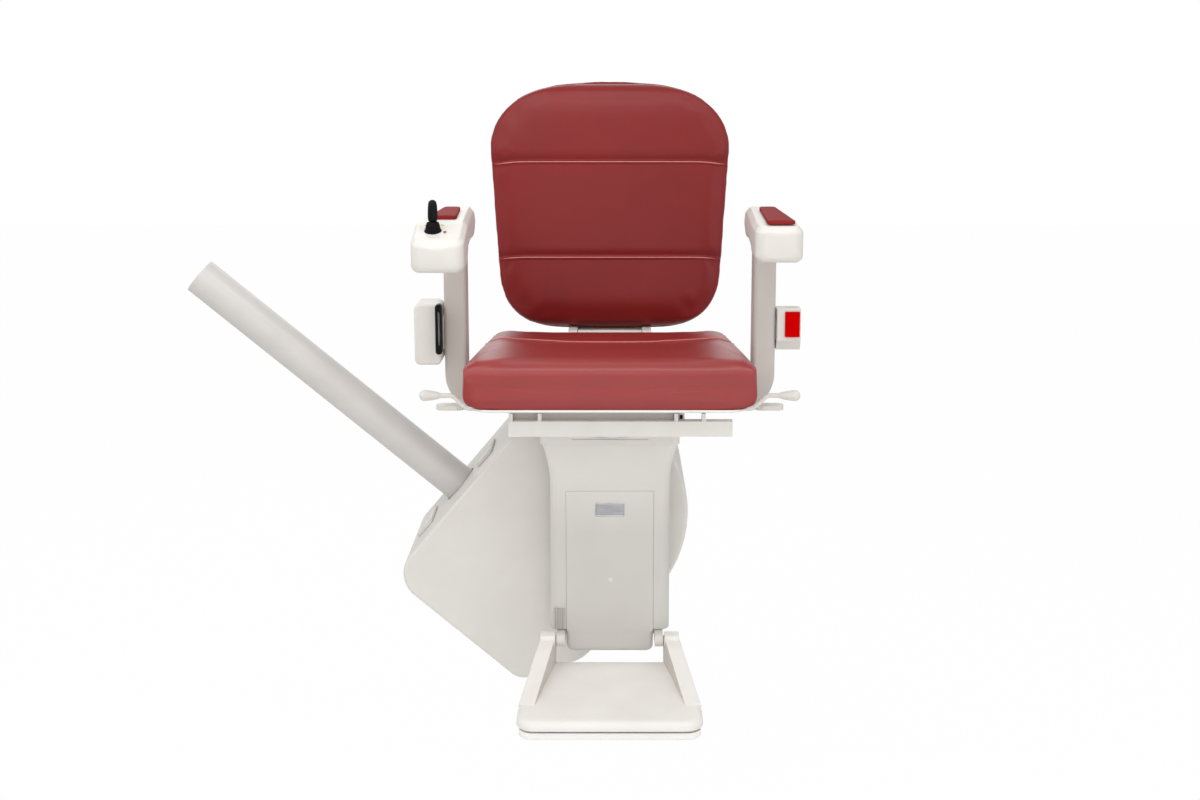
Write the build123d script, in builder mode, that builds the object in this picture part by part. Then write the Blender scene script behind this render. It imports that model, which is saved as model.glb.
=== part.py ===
from build123d import *
from math import atan2, cos, degrees, pi, radians, sin, sqrt, tan
import os

os.makedirs("parts", exist_ok=True)

# A stairlift chair on a section of its rail. The rail slopes down to the right, the chair sits in
# front of it and faces the viewer. The frame's origin is the mouth of the rail's upper joint:
# +X runs to the chair's side, +Y towards the wall behind the rail, +Z up.

# ---------------------------------------------------------------- driving dimensions (mm, degrees)
# rail
rail_slope = 40.0
rail_diameter = 66.0
rail_wall = 4.0
rail_tail = 3.0              # how far the tube runs on below the point behind the swivel axis
park_distance = 962.0        # from the upper joint to the point behind the swivel axis
joint_bore_radius = 29.5
joint_bore_depth = 120.0
end_cap_thickness = 4.0
end_cap_spigot = 30.0
stop_collar_radius = 41.0
stop_collar_length = 16.0
stop_collar_place = -28.0    # upper face of the collar, measured from the parked point
rack_module = 4.0
rack_width = 20.0
rack_start = 135.0
rack_root = 39.0             # from the tube's axis to the bottom of the teeth
tooth_addendum = 0.8         # shares of the module
tooth_dedendum = 1.05
tooth_backlash = 0.35

# where the chair stands against the rail
rail_depth = 190.0           # the rail's axis behind the swivel axis
rail_over_floor = 36.6       # the rail's axis over the footrest's underside, at the swivel axis

# carriage casing
casing_front = 60.0
casing_split = 178.0
casing_back = 308.0
casing_wall = 3.5
casing_top = 413.0
casing_upper_end = -359.0    # along the rail
casing_low_side = -173.0     # square to the rail
casing_belly = -176.0
casing_edge = 7.0
bulge_radius = 222.0
bulge_along = -205.0
bulge_across = 112.0
rail_gap = 3.5
collar_gap = 3.0
bumper_length = 40.0
bumper_height = 7.0
bumper_places = (60.0, -110.0)

# carriage works
chassis_front = 138.0
chassis_thickness = 8.0
chassis_low = -66.0
roller_waist = 14.0
roller_half_width = 22.0
roller_clearance = 0.3
roller_places = (-315.0, -62.0)
axle_radius = 6.0
running_gap = 0.05
pinion_teeth = 14
pinion_place = -200.0
pinion_width = 22.0
pinion_shaft = 8.0
gearbox_width = 84.0
gearbox_low = 40.0
gearbox_high = 96.0
motor_radius = 38.0
motor_length = 112.0
battery_length = 151.0
battery_width = 65.0
battery_height = 94.0
battery_place = -270.0
shelf_thickness = 3.5
board_length = 78.0
board_height = 110.0
board_place = -285.0         # along the rail
board_height_place = 10.0    # square to it

# levelling
level_height = 240.0
hub_radius = 25.0
hub_end = 160.0
level_gear_teeth = 40
level_gear_front = 100.0
level_gear_width = 12.0
level_motor_radius = 28.0
level_motor_length = 64.0

# column
column_front = -40.0
column_back = 48.0
column_half_width = 101.0
column_head_half_width = 114.5
column_waist_height = 341.0
cover_top = 405.0
cover_bottom = 80.5
cover_wall = 3.5
column_corner = 20.0
panel_half_width = 74.0
panel_top = 325.0
panel_bottom = 42.0
panel_gap = 0.6
panel_setback = 1.2
skirt_depth = 34.0
cap_top = 421.0
cap_half_width = 117.0
cap_front = -44.0
cap_slot_half_width = 64.0
cap_slot_height = 2.4
frame_half_width = 52.0
frame_front = -26.0
frame_back = 40.0
frame_wall = 4.0
pillar_radius = 45.0
plate_width = 49.0
plate_height = 23.6
plate_thickness = 1.4
plate_place = 292.3
service_cap_radius = 4.6
service_cap_height = 168.7
service_cap_x = 2.0
gaiter_width = 20.0
gaiter_low = 82.0
gaiter_high = 119.0
gaiter_ribs = 5

# footrest
foot_hinge_depth = -54.0
foot_hinge_height = 68.0
foot_pin_radius = 6.0
foot_boss_radius = 11.0
lug_inner = 76.0
lug_thickness = 14.0
bracket_bar_depth = 24.0
arm_inner = 91.0
arm_width = 25.0
foot_arm_spread = 29.5
foot_arm_front = -222.0
foot_arm_low_top = 41.0
footplate_front = -285.0
footplate_back = -47.0
footplate_front_half = 146.0
footplate_back_half = 117.0
footplate_top = 29.0
footplate_seam = 15.0
footplate_corner = 20.0
pan_top = 11.6
pan_inset = 1.6
pan_screw_radius = 5.0
pan_screw_head = 8.5
pan_screw_x = 90.0
pan_screw_front = -250.0
pan_screw_back = -75.0

# swivel and seat frame
swivel_disc_radius = 59.4   # inside the casing's front face, which it passes as the column levels
swivel_plate_radius = 100.0
swivel_plate_wings = 110.0    # the plate reaches under both seat rails over this length
swivel_plate_thickness = 8.0
bearing_height = 7.0
bearing_radius = 46.0
spigot_radius = 20.0
seat_rail_x = 100.0
seat_rail_width = 20.0
seat_rail_height = 37.0
seat_rail_front = -125.0
seat_rail_back = 212.0
seat_rail_wall = 3.0
beam_left = -162.0
beam_right = 196.0
beam_front = -141.0
beam_back = -125.0
beam_drop = 13.0              # below the seat shell
beam_height = 25.0
beam_wall = 2.5
beam_ribs = (-158.0, -112.0, 106.0, 150.0)
beam_rib_width = 6.0

# seat
shell_gap = 3.0               # over the seat rails
shell_wall = 3.0
shell_depth = 16.0
shell_front = -203.0
shell_hinge_set = 6.0         # from the seat's hinge to the shell's back edge
shell_front_half = 217.0
shell_back_half = 200.0
shell_corner = 34.0
seat_hinge_set = 12.0         # in front of the bracket that carries the backrest
seat_hinge_drop = 14.0       # below the backrest's lower edge
seat_pin_radius = 4.0
seat_knuckle_radius = 9.0
knuckle_half_width = 58.0
cushion_gap = 0.4
cushion_half_width = 220.0
cushion_back_half = 203.0
cushion_front_height = 71.0   # above the shell's rim
cushion_back_height = 50.0
cushion_back_set = 8.0        # inside the shell's back edge
cushion_corner = 44.0
cushion_roll = 20.0
cushion_tuck = 7.0
cushion_crown = 4.0
seat_seam_place = 86.0
seam_width = 3.0
seam_depth = 4.0

# backrest
back_lean = 7.0
back_gap = 59.0               # above the seat shell's rim
back_set = 38.0               # behind the seat rails' ends
back_thickness = 38.0
back_crown = 8.0
back_height = 441.0
back_seams = (134.0, 304.0)
back_low_half = 191.0
back_high_half = 221.0
back_top_corner = 98.0
back_top_draw = 84.0
back_low_corner = 84.0
back_low_draw = 74.0
back_roll = 18.0
back_shell_inset = 8.0
back_shell_thickness = 14.0
bracket_half_width = 75.0
bracket_thickness = 6.0
bracket_reach = 240.0
bracket_low = 441.0
bracket_bend_drop = 19.0     # where the bracket bends, below the seat's hinge

# arms
post_x = 264.0
post_y = 70.0
post_width = 38.0
post_depth = 50.0
post_corner = 7.0
post_wall = 3.0
post_bend = 46.0
post_seat_gap = 6.0           # between the seat shell and the strap under it
post_drop = 29.5            # from the arm's hinge to the post's shoulder
arm_hinge_drop = 27.0       # below the arm's top
arm_end_radius = 28.0
tongue_thickness = 16.0
tongue_radius = 20.0
tongue_gap = 0.6
arm_pin_radius = 5.0
arm_front = -200.0
arm_rise = 292.0              # above the seat shell's rim
arm_thickness = 51.0
arm_rear_inner = 232.0
arm_rear_outer = 283.0
left_arm_inner = 223.5
left_arm_outer = 306.0
left_nose_depth = 74.0       # from the arm's top down to the underside of its nose
left_nose_fall = 24.0        # how far the top slopes down to the nose
right_arm_inner = 222.5
right_arm_outer = 297.0
right_nose_depth = 58.0
right_nose_fall = 2.0
arm_edge = 6.0
arm_pad_height = 6.0
arm_pad_back = 20.0
arm_pad_back_inner = 249.0
arm_pad_back_outer = 276.0
left_pad_front = -118.0
left_pad_inner = 243.0
left_pad_outer = 285.0
right_pad_front = -186.0
right_pad_inner = 242.0
right_pad_outer = 284.0
stick_x = -273.5
stick_y = -163.0
stick_pivot_drop = 16.0      # below the arm's top
stick_pin_radius = 2.5
stick_pin_reach = 6.0        # behind the ball
stick_ball = 13.3
stick_gap = 0.3
stick_radius = 6.8
stick_height = 52.0

# belt
reel_inner = 286.0
reel_outer = 332.0
reel_low = 526.0
reel_high = 631.0
reel_front = 27.0
reel_back = 90.0
reel_wall = 3.0
spool_radius = 17.0
buckle_gap = 2.0             # from the post's outer face
buckle_width = 41.0
buckle_low = 548.0
buckle_high = 620.0
buckle_front = 41.0
buckle_back = 76.0
button_low = 572.0
button_high = 616.0
button_inner_wall = 13.5
button_outer_wall = 2.0
button_travel = 3.0

# levers under the seat
lever_y = -35.0
lever_pivot_x = 84.0
lever_rise = 22.0             # above the swivel plate
lever_tip_rise = 22.0
lever_rod = 4.0
tooth_reach = 44.0          # from the lever's pivot in to its tooth
tooth_radius = 4.0
tooth_gap = 0.3             # the lifted tooth passes over the disc; it drops in at a notch
knob_inner = 282.0
knob_outer = 317.0
knob_radius = 9.0
paddle_y = 5.0
paddle_drop = 25.0            # below the seat shell
paddle_rod = 5.0
paddle_inner = 250.0
paddle_length = 44.0
paddle_half_width = 9.0

# ---------------------------------------------------------------- the chair's place on the rail
rail_cos = cos(radians(rail_slope))
rail_sin = sin(radians(rail_slope))
rail_radius = rail_diameter / 2
rail_length = park_distance + rail_tail
chair_x = park_distance * rail_cos
chair_y = -rail_depth
chair_z = -park_distance * rail_sin - rail_over_floor
chassis_back = chassis_front + chassis_thickness
sides = (("left", -1), ("right", 1))

# heights and places that follow from the values above
seat_rail_low = cap_top + 2 * swivel_plate_thickness + bearing_height
shell_floor = seat_rail_low + seat_rail_height + shell_gap
shell_rim = shell_floor + shell_depth
cushion_front_top = shell_rim + cushion_front_height
cushion_back_top = shell_rim + cushion_back_height
back_low = shell_rim + back_gap
back_depth = seat_rail_back + back_set
seat_hinge_depth = seat_rail_back - seat_hinge_set
shell_back = seat_hinge_depth - shell_hinge_set
cushion_back = shell_back - cushion_back_set
beam_high = shell_floor - beam_drop
beam_low = beam_high - beam_height
lever_height = seat_rail_low + lever_rise
lever_tip_height = lever_height + lever_tip_rise
paddle_height = shell_floor - paddle_drop
post_foot_height = shell_floor - post_seat_gap - post_width / 2
arm_top = shell_rim + arm_rise
seat_hinge_height = back_low - seat_hinge_drop
arm_hinge_height = arm_top - arm_hinge_drop
post_top = arm_hinge_height - post_drop
arm_under = arm_top - arm_thickness
left_arm_low = arm_top - left_nose_depth
left_arm_nose = arm_top - left_nose_fall
right_arm_low = arm_top - right_nose_depth
right_arm_nose = arm_top - right_nose_fall
stick_pivot = arm_top - stick_pivot_drop
stick_top = stick_pivot + stick_height
buckle_inner = post_x + post_width / 2 + buckle_gap
buckle_outer = buckle_inner + buckle_width
button_inner = buckle_inner + button_inner_wall
button_outer = buckle_outer - button_outer_wall
paddle_outer = paddle_inner + paddle_length
bracket_bend = seat_hinge_height - bracket_bend_drop


def level(height):
    """A level plane at a height over the footrest's underside, centred on the swivel axis."""
    return Plane((chair_x, chair_y, chair_z + height))


def facing_front(depth):
    """An upright plane whose sketch shows the chair from the front; material grows forwards."""
    return Plane((chair_x, chair_y + depth, chair_z), x_dir=(1, 0, 0), z_dir=(0, -1, 0))


def facing_side(across):
    """An upright plane seen from the right: its sketch has depth and height; it grows to +X."""
    return Plane((chair_x + across, chair_y, chair_z), x_dir=(0, 1, 0), z_dir=(1, 0, 0))


def along_rail(depth):
    """An upright plane turned with the rail: its sketch runs down the rail and square to it."""
    origin = (chair_x, chair_y + depth, chair_z + rail_over_floor)
    return Plane(origin, x_dir=(rail_cos, 0, -rail_sin), z_dir=(0, -1, 0))


def across_rail(distance):
    """A plane square to the rail, a distance down from the upper joint; it grows down the rail."""
    origin = (distance * rail_cos, 0, -distance * rail_sin)
    return Plane(origin, x_dir=(0, 1, 0), z_dir=(rail_cos, 0, -rail_sin))


def over_rail(distance, height):
    """A plane that lies on the rail's back: its sketch runs down the rail and to the wall."""
    x = distance * rail_cos + height * rail_sin
    z = -distance * rail_sin + height * rail_cos
    return Plane((x, 0, z), x_dir=(rail_cos, 0, -rail_sin), z_dir=(rail_sin, 0, rail_cos))


def rail_frame(x, height):
    """Turns a chair position into distances down the rail and square to it."""
    z = height - rail_over_floor
    return (x * rail_cos - z * rail_sin, x * rail_sin + z * rail_cos)


def write(piece, name):
    """Names a finished piece and writes it."""
    piece.part.label = name
    export_step(piece.part, f"parts/{name}.step")


# ---------------------------------------------------------------- rail
def make_rail():
    with BuildPart() as rail_tube:
        with BuildSketch(across_rail(0)):
            Circle(rail_radius)
            Circle(rail_radius - rail_wall, mode=Mode.SUBTRACT)
        extrude(amount=rail_length - end_cap_thickness)
        with BuildSketch(across_rail(0)):
            Circle(joint_bore_radius)
        extrude(amount=joint_bore_depth, mode=Mode.SUBTRACT)
    write(rail_tube, "rail_tube")

    with BuildPart() as rail_end_cap:
        with BuildSketch(across_rail(rail_length)):
            Circle(rail_radius)
        extrude(amount=-end_cap_thickness)
        fillet(rail_end_cap.edges().sort_by(Axis((0, 0, 0), (rail_cos, 0, -rail_sin)))[-1], 2)
        with BuildSketch(across_rail(rail_length - end_cap_thickness)):
            Circle(rail_radius - rail_wall - running_gap)
        extrude(amount=-end_cap_spigot)
    write(rail_end_cap, "rail_end_cap")

    with BuildPart() as rail_stop:
        with BuildSketch(across_rail(park_distance + stop_collar_place)):
            Circle(stop_collar_radius)
            Circle(rail_radius, mode=Mode.SUBTRACT)
            with Locations((rail_radius, 0)):
                Rectangle(rail_radius, rack_width + 2, mode=Mode.SUBTRACT)
        extrude(amount=stop_collar_length)
    write(rail_stop, "rail_stop")


def make_rack():
    """The toothed bar on the hidden back of the tube, with a tooth centred on the drive pinion."""
    pitch = pi * rack_module
    rack_end = park_distance + stop_collar_place - 1
    pinion_at = park_distance + pinion_place
    tip_half = pitch / 4 - tooth_backlash / 2 - tooth_addendum * rack_module * tan(radians(20))
    root_half = pitch / 4 - tooth_backlash / 2 + tooth_dedendum * rack_module * tan(radians(20))
    root = rack_root
    tip = rack_root + (tooth_addendum + tooth_dedendum) * rack_module
    first = int((pinion_at - rack_start) / pitch)
    last = int((rack_end - pinion_at) / pitch)
    points = [(rack_start - pitch / 2, rail_radius - 2), (rack_start - pitch / 2, root)]
    for tooth in range(-first, last):
        middle = pinion_at + tooth * pitch
        points.append((middle - root_half, root))
        points.append((middle - tip_half, tip))
        points.append((middle + tip_half, tip))
        points.append((middle + root_half, root))
    points.append((rack_end, root))
    points.append((rack_end, rail_radius - 2))
    with BuildPart() as rail_rack:
        with BuildSketch(over_rail(0, -rack_width / 2)):
            with BuildLine():
                Polyline(*points, close=True)
            make_face()
        extrude(amount=rack_width)
        with BuildSketch(across_rail(0)):
            Circle(rail_radius)
        extrude(amount=rail_length, mode=Mode.SUBTRACT)
    write(rail_rack, "rail_rack")


# ---------------------------------------------------------------- carriage casing
def casing_face(inset):
    """The casing's outline, which the rail's slope turns: a round shoulder on the chair's side."""
    top_left = (casing_upper_end, rail_frame_across(casing_upper_end, casing_top))
    shoulder_angle = radians(7.8)
    shoulder = (
        bulge_along + bulge_radius * cos(shoulder_angle),
        bulge_across + bulge_radius * sin(shoulder_angle),
    )
    crest = crest_point()
    crest_angle = atan2(crest[1] - bulge_across, crest[0] - bulge_along)
    middle_angle = (shoulder_angle + crest_angle) / 2
    middle = (
        bulge_along + bulge_radius * cos(middle_angle),
        bulge_across + bulge_radius * sin(middle_angle),
    )
    corners = [
        crest,
        top_left,
        (casing_upper_end, casing_low_side),
        (-62, casing_belly),
        (-3, -74),
        shoulder,
    ]
    with BuildLine() as outline:
        FilletPolyline(*corners, radius=[14, 52, 34, 60])
        ThreePointArc(shoulder, middle, crest)
    make_face(outline.edges())
    if inset:
        offset(amount=-inset, kind=Kind.INTERSECTION)


def rail_frame_across(along, height):
    """The distance square to the rail of the point at this place along it and at this height."""
    return (height - rail_over_floor + along * rail_sin) / rail_cos


def crest_point():
    """Where the round shoulder meets the casing's level top."""
    centre_x = bulge_along * rail_cos + bulge_across * rail_sin
    centre_z = rail_over_floor - bulge_along * rail_sin + bulge_across * rail_cos
    x = centre_x + sqrt(bulge_radius**2 - (casing_top - centre_z) ** 2)
    return rail_frame(x, casing_top)


def rail_passage():
    """Clears the way of the tube, its rack and, at the lower end, the stop collar."""
    with BuildSketch(across_rail(park_distance + casing_upper_end - 30)) as rail_way:
        Circle(rail_radius + rail_gap)
        with Locations((rail_radius, 0)):
            Rectangle(2 * (rack_root + 12 - rail_radius), rack_width + 2 * rail_gap)
    extrude(rail_way.sketch, amount=500, mode=Mode.SUBTRACT)
    with BuildSketch(across_rail(park_distance + stop_collar_place)) as collar_way:
        Circle(stop_collar_radius + collar_gap)
    extrude(collar_way.sketch, amount=200, mode=Mode.SUBTRACT)


def make_casing():
    with BuildPart() as casing_front_shell:
        with BuildSketch(along_rail(casing_split)):
            casing_face(0)
        extrude(amount=casing_split - casing_front)
        front_edges = casing_front_shell.faces().sort_by(Axis.Y)[0].edges()
        fillet(front_edges, casing_edge)
        with BuildSketch(along_rail(casing_split)):
            casing_face(casing_wall)
        extrude(amount=casing_split - casing_front - casing_wall, mode=Mode.SUBTRACT)
        rail_passage()
        with BuildSketch(facing_front(casing_front + 2 * casing_wall)):
            with Locations((0, level_height)):
                Circle(hub_radius + 1.5)
        extrude(amount=3 * casing_wall, mode=Mode.SUBTRACT)
    write(casing_front_shell, "casing_front")

    with BuildPart() as casing_rear_shell:
        with BuildSketch(along_rail(casing_back)):
            casing_face(0)
        extrude(amount=casing_back - casing_split)
        rear_edges = casing_rear_shell.faces().sort_by(Axis.Y)[-1].edges()
        fillet(rear_edges, casing_edge)
        with BuildSketch(along_rail(casing_back - casing_wall)):
            casing_face(casing_wall)
        extrude(amount=casing_back - casing_wall - casing_split, mode=Mode.SUBTRACT)
        rail_passage()
    write(casing_rear_shell, "casing_rear")

    # soft buffers on the upper end stop the carriage when they meet something
    with BuildPart() as bumpers:
        with BuildSketch(along_rail(casing_split + 42)):
            for low in bumper_places:
                with Locations((casing_upper_end - bumper_height / 2, low + bumper_length / 2)):
                    RectangleRounded(bumper_height, bumper_length, 3)
        extrude(amount=84)
    write(bumpers, "bumpers")


# ---------------------------------------------------------------- carriage works
def make_chassis():
    """The steel plate that carries rollers, drive, levelling bearing and batteries."""
    hub = rail_frame(0, level_height)
    shelf_top = casing_low_side + casing_wall + 1.5 + shelf_thickness
    upper_roller = rail_radius + roller_clearance + roller_waist
    with BuildPart() as carriage_frame:
        with BuildSketch(along_rail(chassis_back)):
            with BuildLine():
                Polyline(
                    (-345, -70), (-290, -70), (-275, shelf_top), (-115, shelf_top), (-100, -70),
                    (-38, -70), (-38, 62), (-78, hub[1] + 20), (-100, hub[1] + 49),
                    (-275, hub[1] + 49), (-290, 70), (-345, 62), close=True,
                )
            make_face()
            with Locations(hub):
                Circle(hub_radius + running_gap, mode=Mode.SUBTRACT)
            with Locations((hub[0] - level_centres(), hub[1])):
                Circle(8, mode=Mode.SUBTRACT)
        extrude(amount=chassis_thickness)
        # bearing boss round the levelling shaft
        with BuildSketch(along_rail(chassis_back)):
            with Locations(hub):
                Circle(hub_radius + 9)
                Circle(hub_radius + running_gap, mode=Mode.SUBTRACT)
        extrude(amount=-8)
        # roller axles, held in the plate at one end
        with BuildSketch(along_rail(chassis_back)):
            for place in roller_places:
                with Locations((place, upper_roller), (place, -upper_roller)):
                    Circle(axle_radius)
        extrude(amount=-(rail_depth + roller_half_width + 8 - chassis_back))
        # shelf over the rail that carries the gearbox
        with BuildSketch(along_rail(rail_depth + rack_root + 72)):
            with Locations((pinion_place, gearbox_low - 2)):
                Rectangle(gearbox_width, 4)
        extrude(amount=rail_depth + rack_root + 72 - chassis_back)
        with BuildSketch(over_rail(park_distance + pinion_place, gearbox_low - 5)):
            with Locations((0, pinion_depth())):
                Circle(10)
        extrude(amount=6, mode=Mode.SUBTRACT)
        # battery shelf on both sides of the plate
        with BuildSketch(along_rail(casing_front + casing_wall + 4 + 2 * battery_width + 22)):
            with Locations((battery_place + battery_length / 2, shelf_top - shelf_thickness / 2)):
                Rectangle(battery_length + 8, shelf_thickness)
        extrude(amount=2 * battery_width + 22)
        # pillars that the front shell is screwed to
        with BuildSketch(along_rail(chassis_front)):
            with Locations((-335, 40), (-335, -55), (-50, -50), (-262, hub[1] + 38)):
                Circle(8)
        extrude(amount=chassis_front - casing_front - casing_wall)
        # stop block that meets the collar on the rail
        with BuildSketch(along_rail(rail_depth - rail_radius - 4)):
            with Locations((stop_collar_place - 12.3, 0)):
                Rectangle(24, 30)
        extrude(amount=rail_depth - rail_radius - 4 - chassis_back)
    write(carriage_frame, "carriage_frame")


def make_rollers():
    """Four rollers with a hollow waist that fits the tube, two over it and two under it."""
    centre = rail_radius + roller_clearance + roller_waist
    hollow = rail_radius + roller_clearance
    number = 0
    for place in roller_places:
        for way in (1, -1):
            number += 1
            along, across = place, way * centre
            x = chair_x + along * rail_cos + across * rail_sin
            z = chair_z + rail_over_floor - along * rail_sin + across * rail_cos
            turned = Plane((x, chair_y + rail_depth, z), x_dir=(0, 1, 0), z_dir=(1, 0, 0))
            edge = centre - sqrt(hollow**2 - roller_half_width**2)
            with BuildPart() as roller:
                with BuildSketch(turned):
                    with BuildLine():
                        Polyline(
                            (-roller_half_width, edge),
                            (-roller_half_width, axle_radius + running_gap),
                            (roller_half_width, axle_radius + running_gap),
                            (roller_half_width, edge),
                        )
                        ThreePointArc(
                            (roller_half_width, edge), (0, roller_waist), (-roller_half_width, edge)
                        )
                    make_face()
                revolve(axis=Axis((x, 0, z), (0, 1, 0)))
            write(roller, f"guide_roller_{number}")


def involute_points(teeth, module, phase):
    """The outline of a spur gear: five points on each involute flank, tooth after tooth."""
    pitch_radius = teeth * module / 2
    base = pitch_radius * cos(radians(20))
    tip = pitch_radius + tooth_addendum * module
    root = pitch_radius - tooth_dedendum * module
    pressure = tan(radians(20)) - radians(20)
    half = pi / (2 * teeth) - tooth_backlash / 2 / (2 * pitch_radius)
    low = max(base, root)
    steps = 4
    flank = []
    for step in range(steps + 1):
        radius = low + (tip - low) * step / steps
        roll = sqrt(max((radius / base) ** 2 - 1, 0))
        flank.append((radius, half + pressure - (roll - atan2(roll, 1))))
    points = []
    for tooth in range(teeth):
        middle = phase + 2 * pi * tooth / teeth
        points.append((root, middle - flank[0][1] - 0.02))
        points += [(radius, middle - angle) for radius, angle in flank]
        points += [(radius, middle + angle) for radius, angle in reversed(flank)]
        points.append((root, middle + flank[0][1] + 0.02))
    return [(radius * cos(angle), radius * sin(angle)) for radius, angle in points]


def level_centres():
    """The distance between the levelling shaft and its pinion."""
    return rack_module * (level_gear_teeth + pinion_teeth) / 2


def pinion_depth():
    """How far behind the tube's axis the drive pinion's axis lies."""
    return rack_root + tooth_dedendum * rack_module + pinion_teeth * rack_module / 2


def make_drive():
    distance = park_distance + pinion_place
    gap_ahead = pi / 2 + pi / pinion_teeth
    with BuildPart() as drive_pinion:
        with BuildSketch(over_rail(distance, -pinion_width / 2)):
            with BuildLine():
                Polyline(*gear_points(pinion_teeth, gap_ahead, 0, pinion_depth()), close=True)
            make_face()
        extrude(amount=pinion_width)
        with BuildSketch(over_rail(distance, pinion_width / 2)):
            with Locations((0, pinion_depth())):
                Circle(pinion_shaft)
        extrude(amount=gearbox_low - pinion_width / 2 + 10)
    write(drive_pinion, "drive_pinion")

    with BuildPart() as gearbox:
        with BuildSketch(over_rail(distance, gearbox_low)):
            with Locations((0, pinion_depth() - 6)):
                RectangleRounded(gearbox_width - 4, 84, 8)
        extrude(amount=gearbox_high - gearbox_low)
        with BuildSketch(over_rail(distance, gearbox_low)):
            with Locations((0, pinion_depth())):
                Circle(pinion_shaft + running_gap)
        extrude(amount=14, mode=Mode.SUBTRACT)
    write(gearbox, "drive_gearbox")

    with BuildPart() as drive_motor:
        with BuildSketch(over_rail(distance, gearbox_high)):
            with Locations((0, pinion_depth())):
                Circle(motor_radius)
        extrude(amount=motor_length)
        with BuildSketch(over_rail(distance, gearbox_high + motor_length)):
            with Locations((0, pinion_depth())):
                Circle(motor_radius - 8)
        extrude(amount=10)
    write(drive_motor, "drive_motor")


def gear_points(teeth, phase, x, y):
    """A gear's outline about a centre that need not be the sketch's own."""
    return [(x + across, y + up) for across, up in involute_points(teeth, rack_module, phase)]


def make_batteries():
    low = casing_low_side + casing_wall + 1.5 + shelf_thickness + 0.2
    middle = battery_place + battery_length / 2
    with BuildPart() as batteries:
        for back in (chassis_front - 2.5, chassis_back + 2.5 + battery_width):
            with BuildSketch(along_rail(back)):
                with Locations((middle, low + (battery_height - 6) / 2)):
                    Rectangle(battery_length, battery_height - 6)
            extrude(amount=battery_width)
            with BuildSketch(along_rail(back - 12)):
                for shift in (22, battery_length - 22):
                    with Locations((battery_place + shift, low + battery_height - 3)):
                        Rectangle(12, 6)
            extrude(amount=10)
    write(batteries, "batteries")

    with BuildPart() as control_board:
        with BuildSketch(along_rail(chassis_front)):
            with Locations((board_place, board_height_place)):
                Rectangle(board_length - 6, 40)
        extrude(amount=10)
        with BuildSketch(along_rail(chassis_front - 10)):
            with Locations((board_place, board_height_place)):
                Rectangle(board_length, board_height - 10)
        extrude(amount=1.6)
        with BuildSketch(along_rail(chassis_front - 11.6)):
            with Locations((board_place - 23, board_height_place + 20),
                           (board_place - 23, board_height_place - 15),
                           (board_place + 15, board_height_place + 18),
                           (board_place + 13, board_height_place - 24)):
                Rectangle(22, 18)
        extrude(amount=12)
    write(control_board, "control_board")


def make_levelling():
    """A gear keyed to the column's shaft, its small pinion and the motor that turns it."""
    hub = rail_frame(0, level_height)
    with BuildPart() as levelling_gear:
        with BuildSketch(along_rail(level_gear_front + level_gear_width)):
            with BuildLine():
                Polyline(*gear_points(level_gear_teeth, 0, *hub), close=True)
            make_face()
            with Locations(hub):
                with PolarLocations(hub_radius + 28, 6):
                    Circle(11, mode=Mode.SUBTRACT)
        extrude(amount=level_gear_width)
        with BuildSketch(facing_front(hub_end)):
            with Locations((0, level_height)):
                Circle(hub_radius)
        extrude(amount=hub_end - frame_back - 6)
        with BuildSketch(facing_front(frame_back + 6)):
            with Locations((0, level_height)):
                Circle(hub_radius + 10)
        extrude(amount=6)
    write(levelling_gear, "levelling_gear")

    pinion_x = hub[0] - level_centres()
    with BuildPart() as levelling_pinion:
        with BuildSketch(along_rail(level_gear_front + level_gear_width)):
            with BuildLine():
                Polyline(*gear_points(pinion_teeth, pi / pinion_teeth, pinion_x, hub[1]), close=True)
            make_face()
        extrude(amount=level_gear_width)
        with BuildSketch(along_rail(chassis_back + 6)):
            with Locations((pinion_x, hub[1])):
                Circle(6)
        extrude(amount=chassis_back + 6 - level_gear_front - level_gear_width)
    write(levelling_pinion, "levelling_pinion")

    with BuildPart() as levelling_motor:
        with BuildSketch(along_rail(chassis_back + level_motor_length)):
            with Locations((pinion_x, hub[1])):
                Circle(level_motor_radius)
        extrude(amount=level_motor_length)
        with BuildSketch(along_rail(chassis_back + 8)):
            with Locations((pinion_x, hub[1])):
                Circle(6 + running_gap)
        extrude(amount=8, mode=Mode.SUBTRACT)
    write(levelling_motor, "levelling_motor")


# ---------------------------------------------------------------- column
def column_outline(inset, low, high):
    """Straight sides that flare out to the head in a hollow curve."""
    half = column_half_width - inset
    head = column_head_half_width - inset
    flare = (half + 0.26 * (head - half), column_waist_height + 0.52 * (high - column_waist_height))
    with BuildLine() as outline:
        Polyline((-half, column_waist_height), (-half, low), (half, low),
                 (half, column_waist_height))
        ThreePointArc((half, column_waist_height), flare, (head, high))
        Line((head, high), (-head, high))
        ThreePointArc((-head, high), (-flare[0], flare[1]), (-half, column_waist_height))
    make_face(outline.edges())


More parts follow.
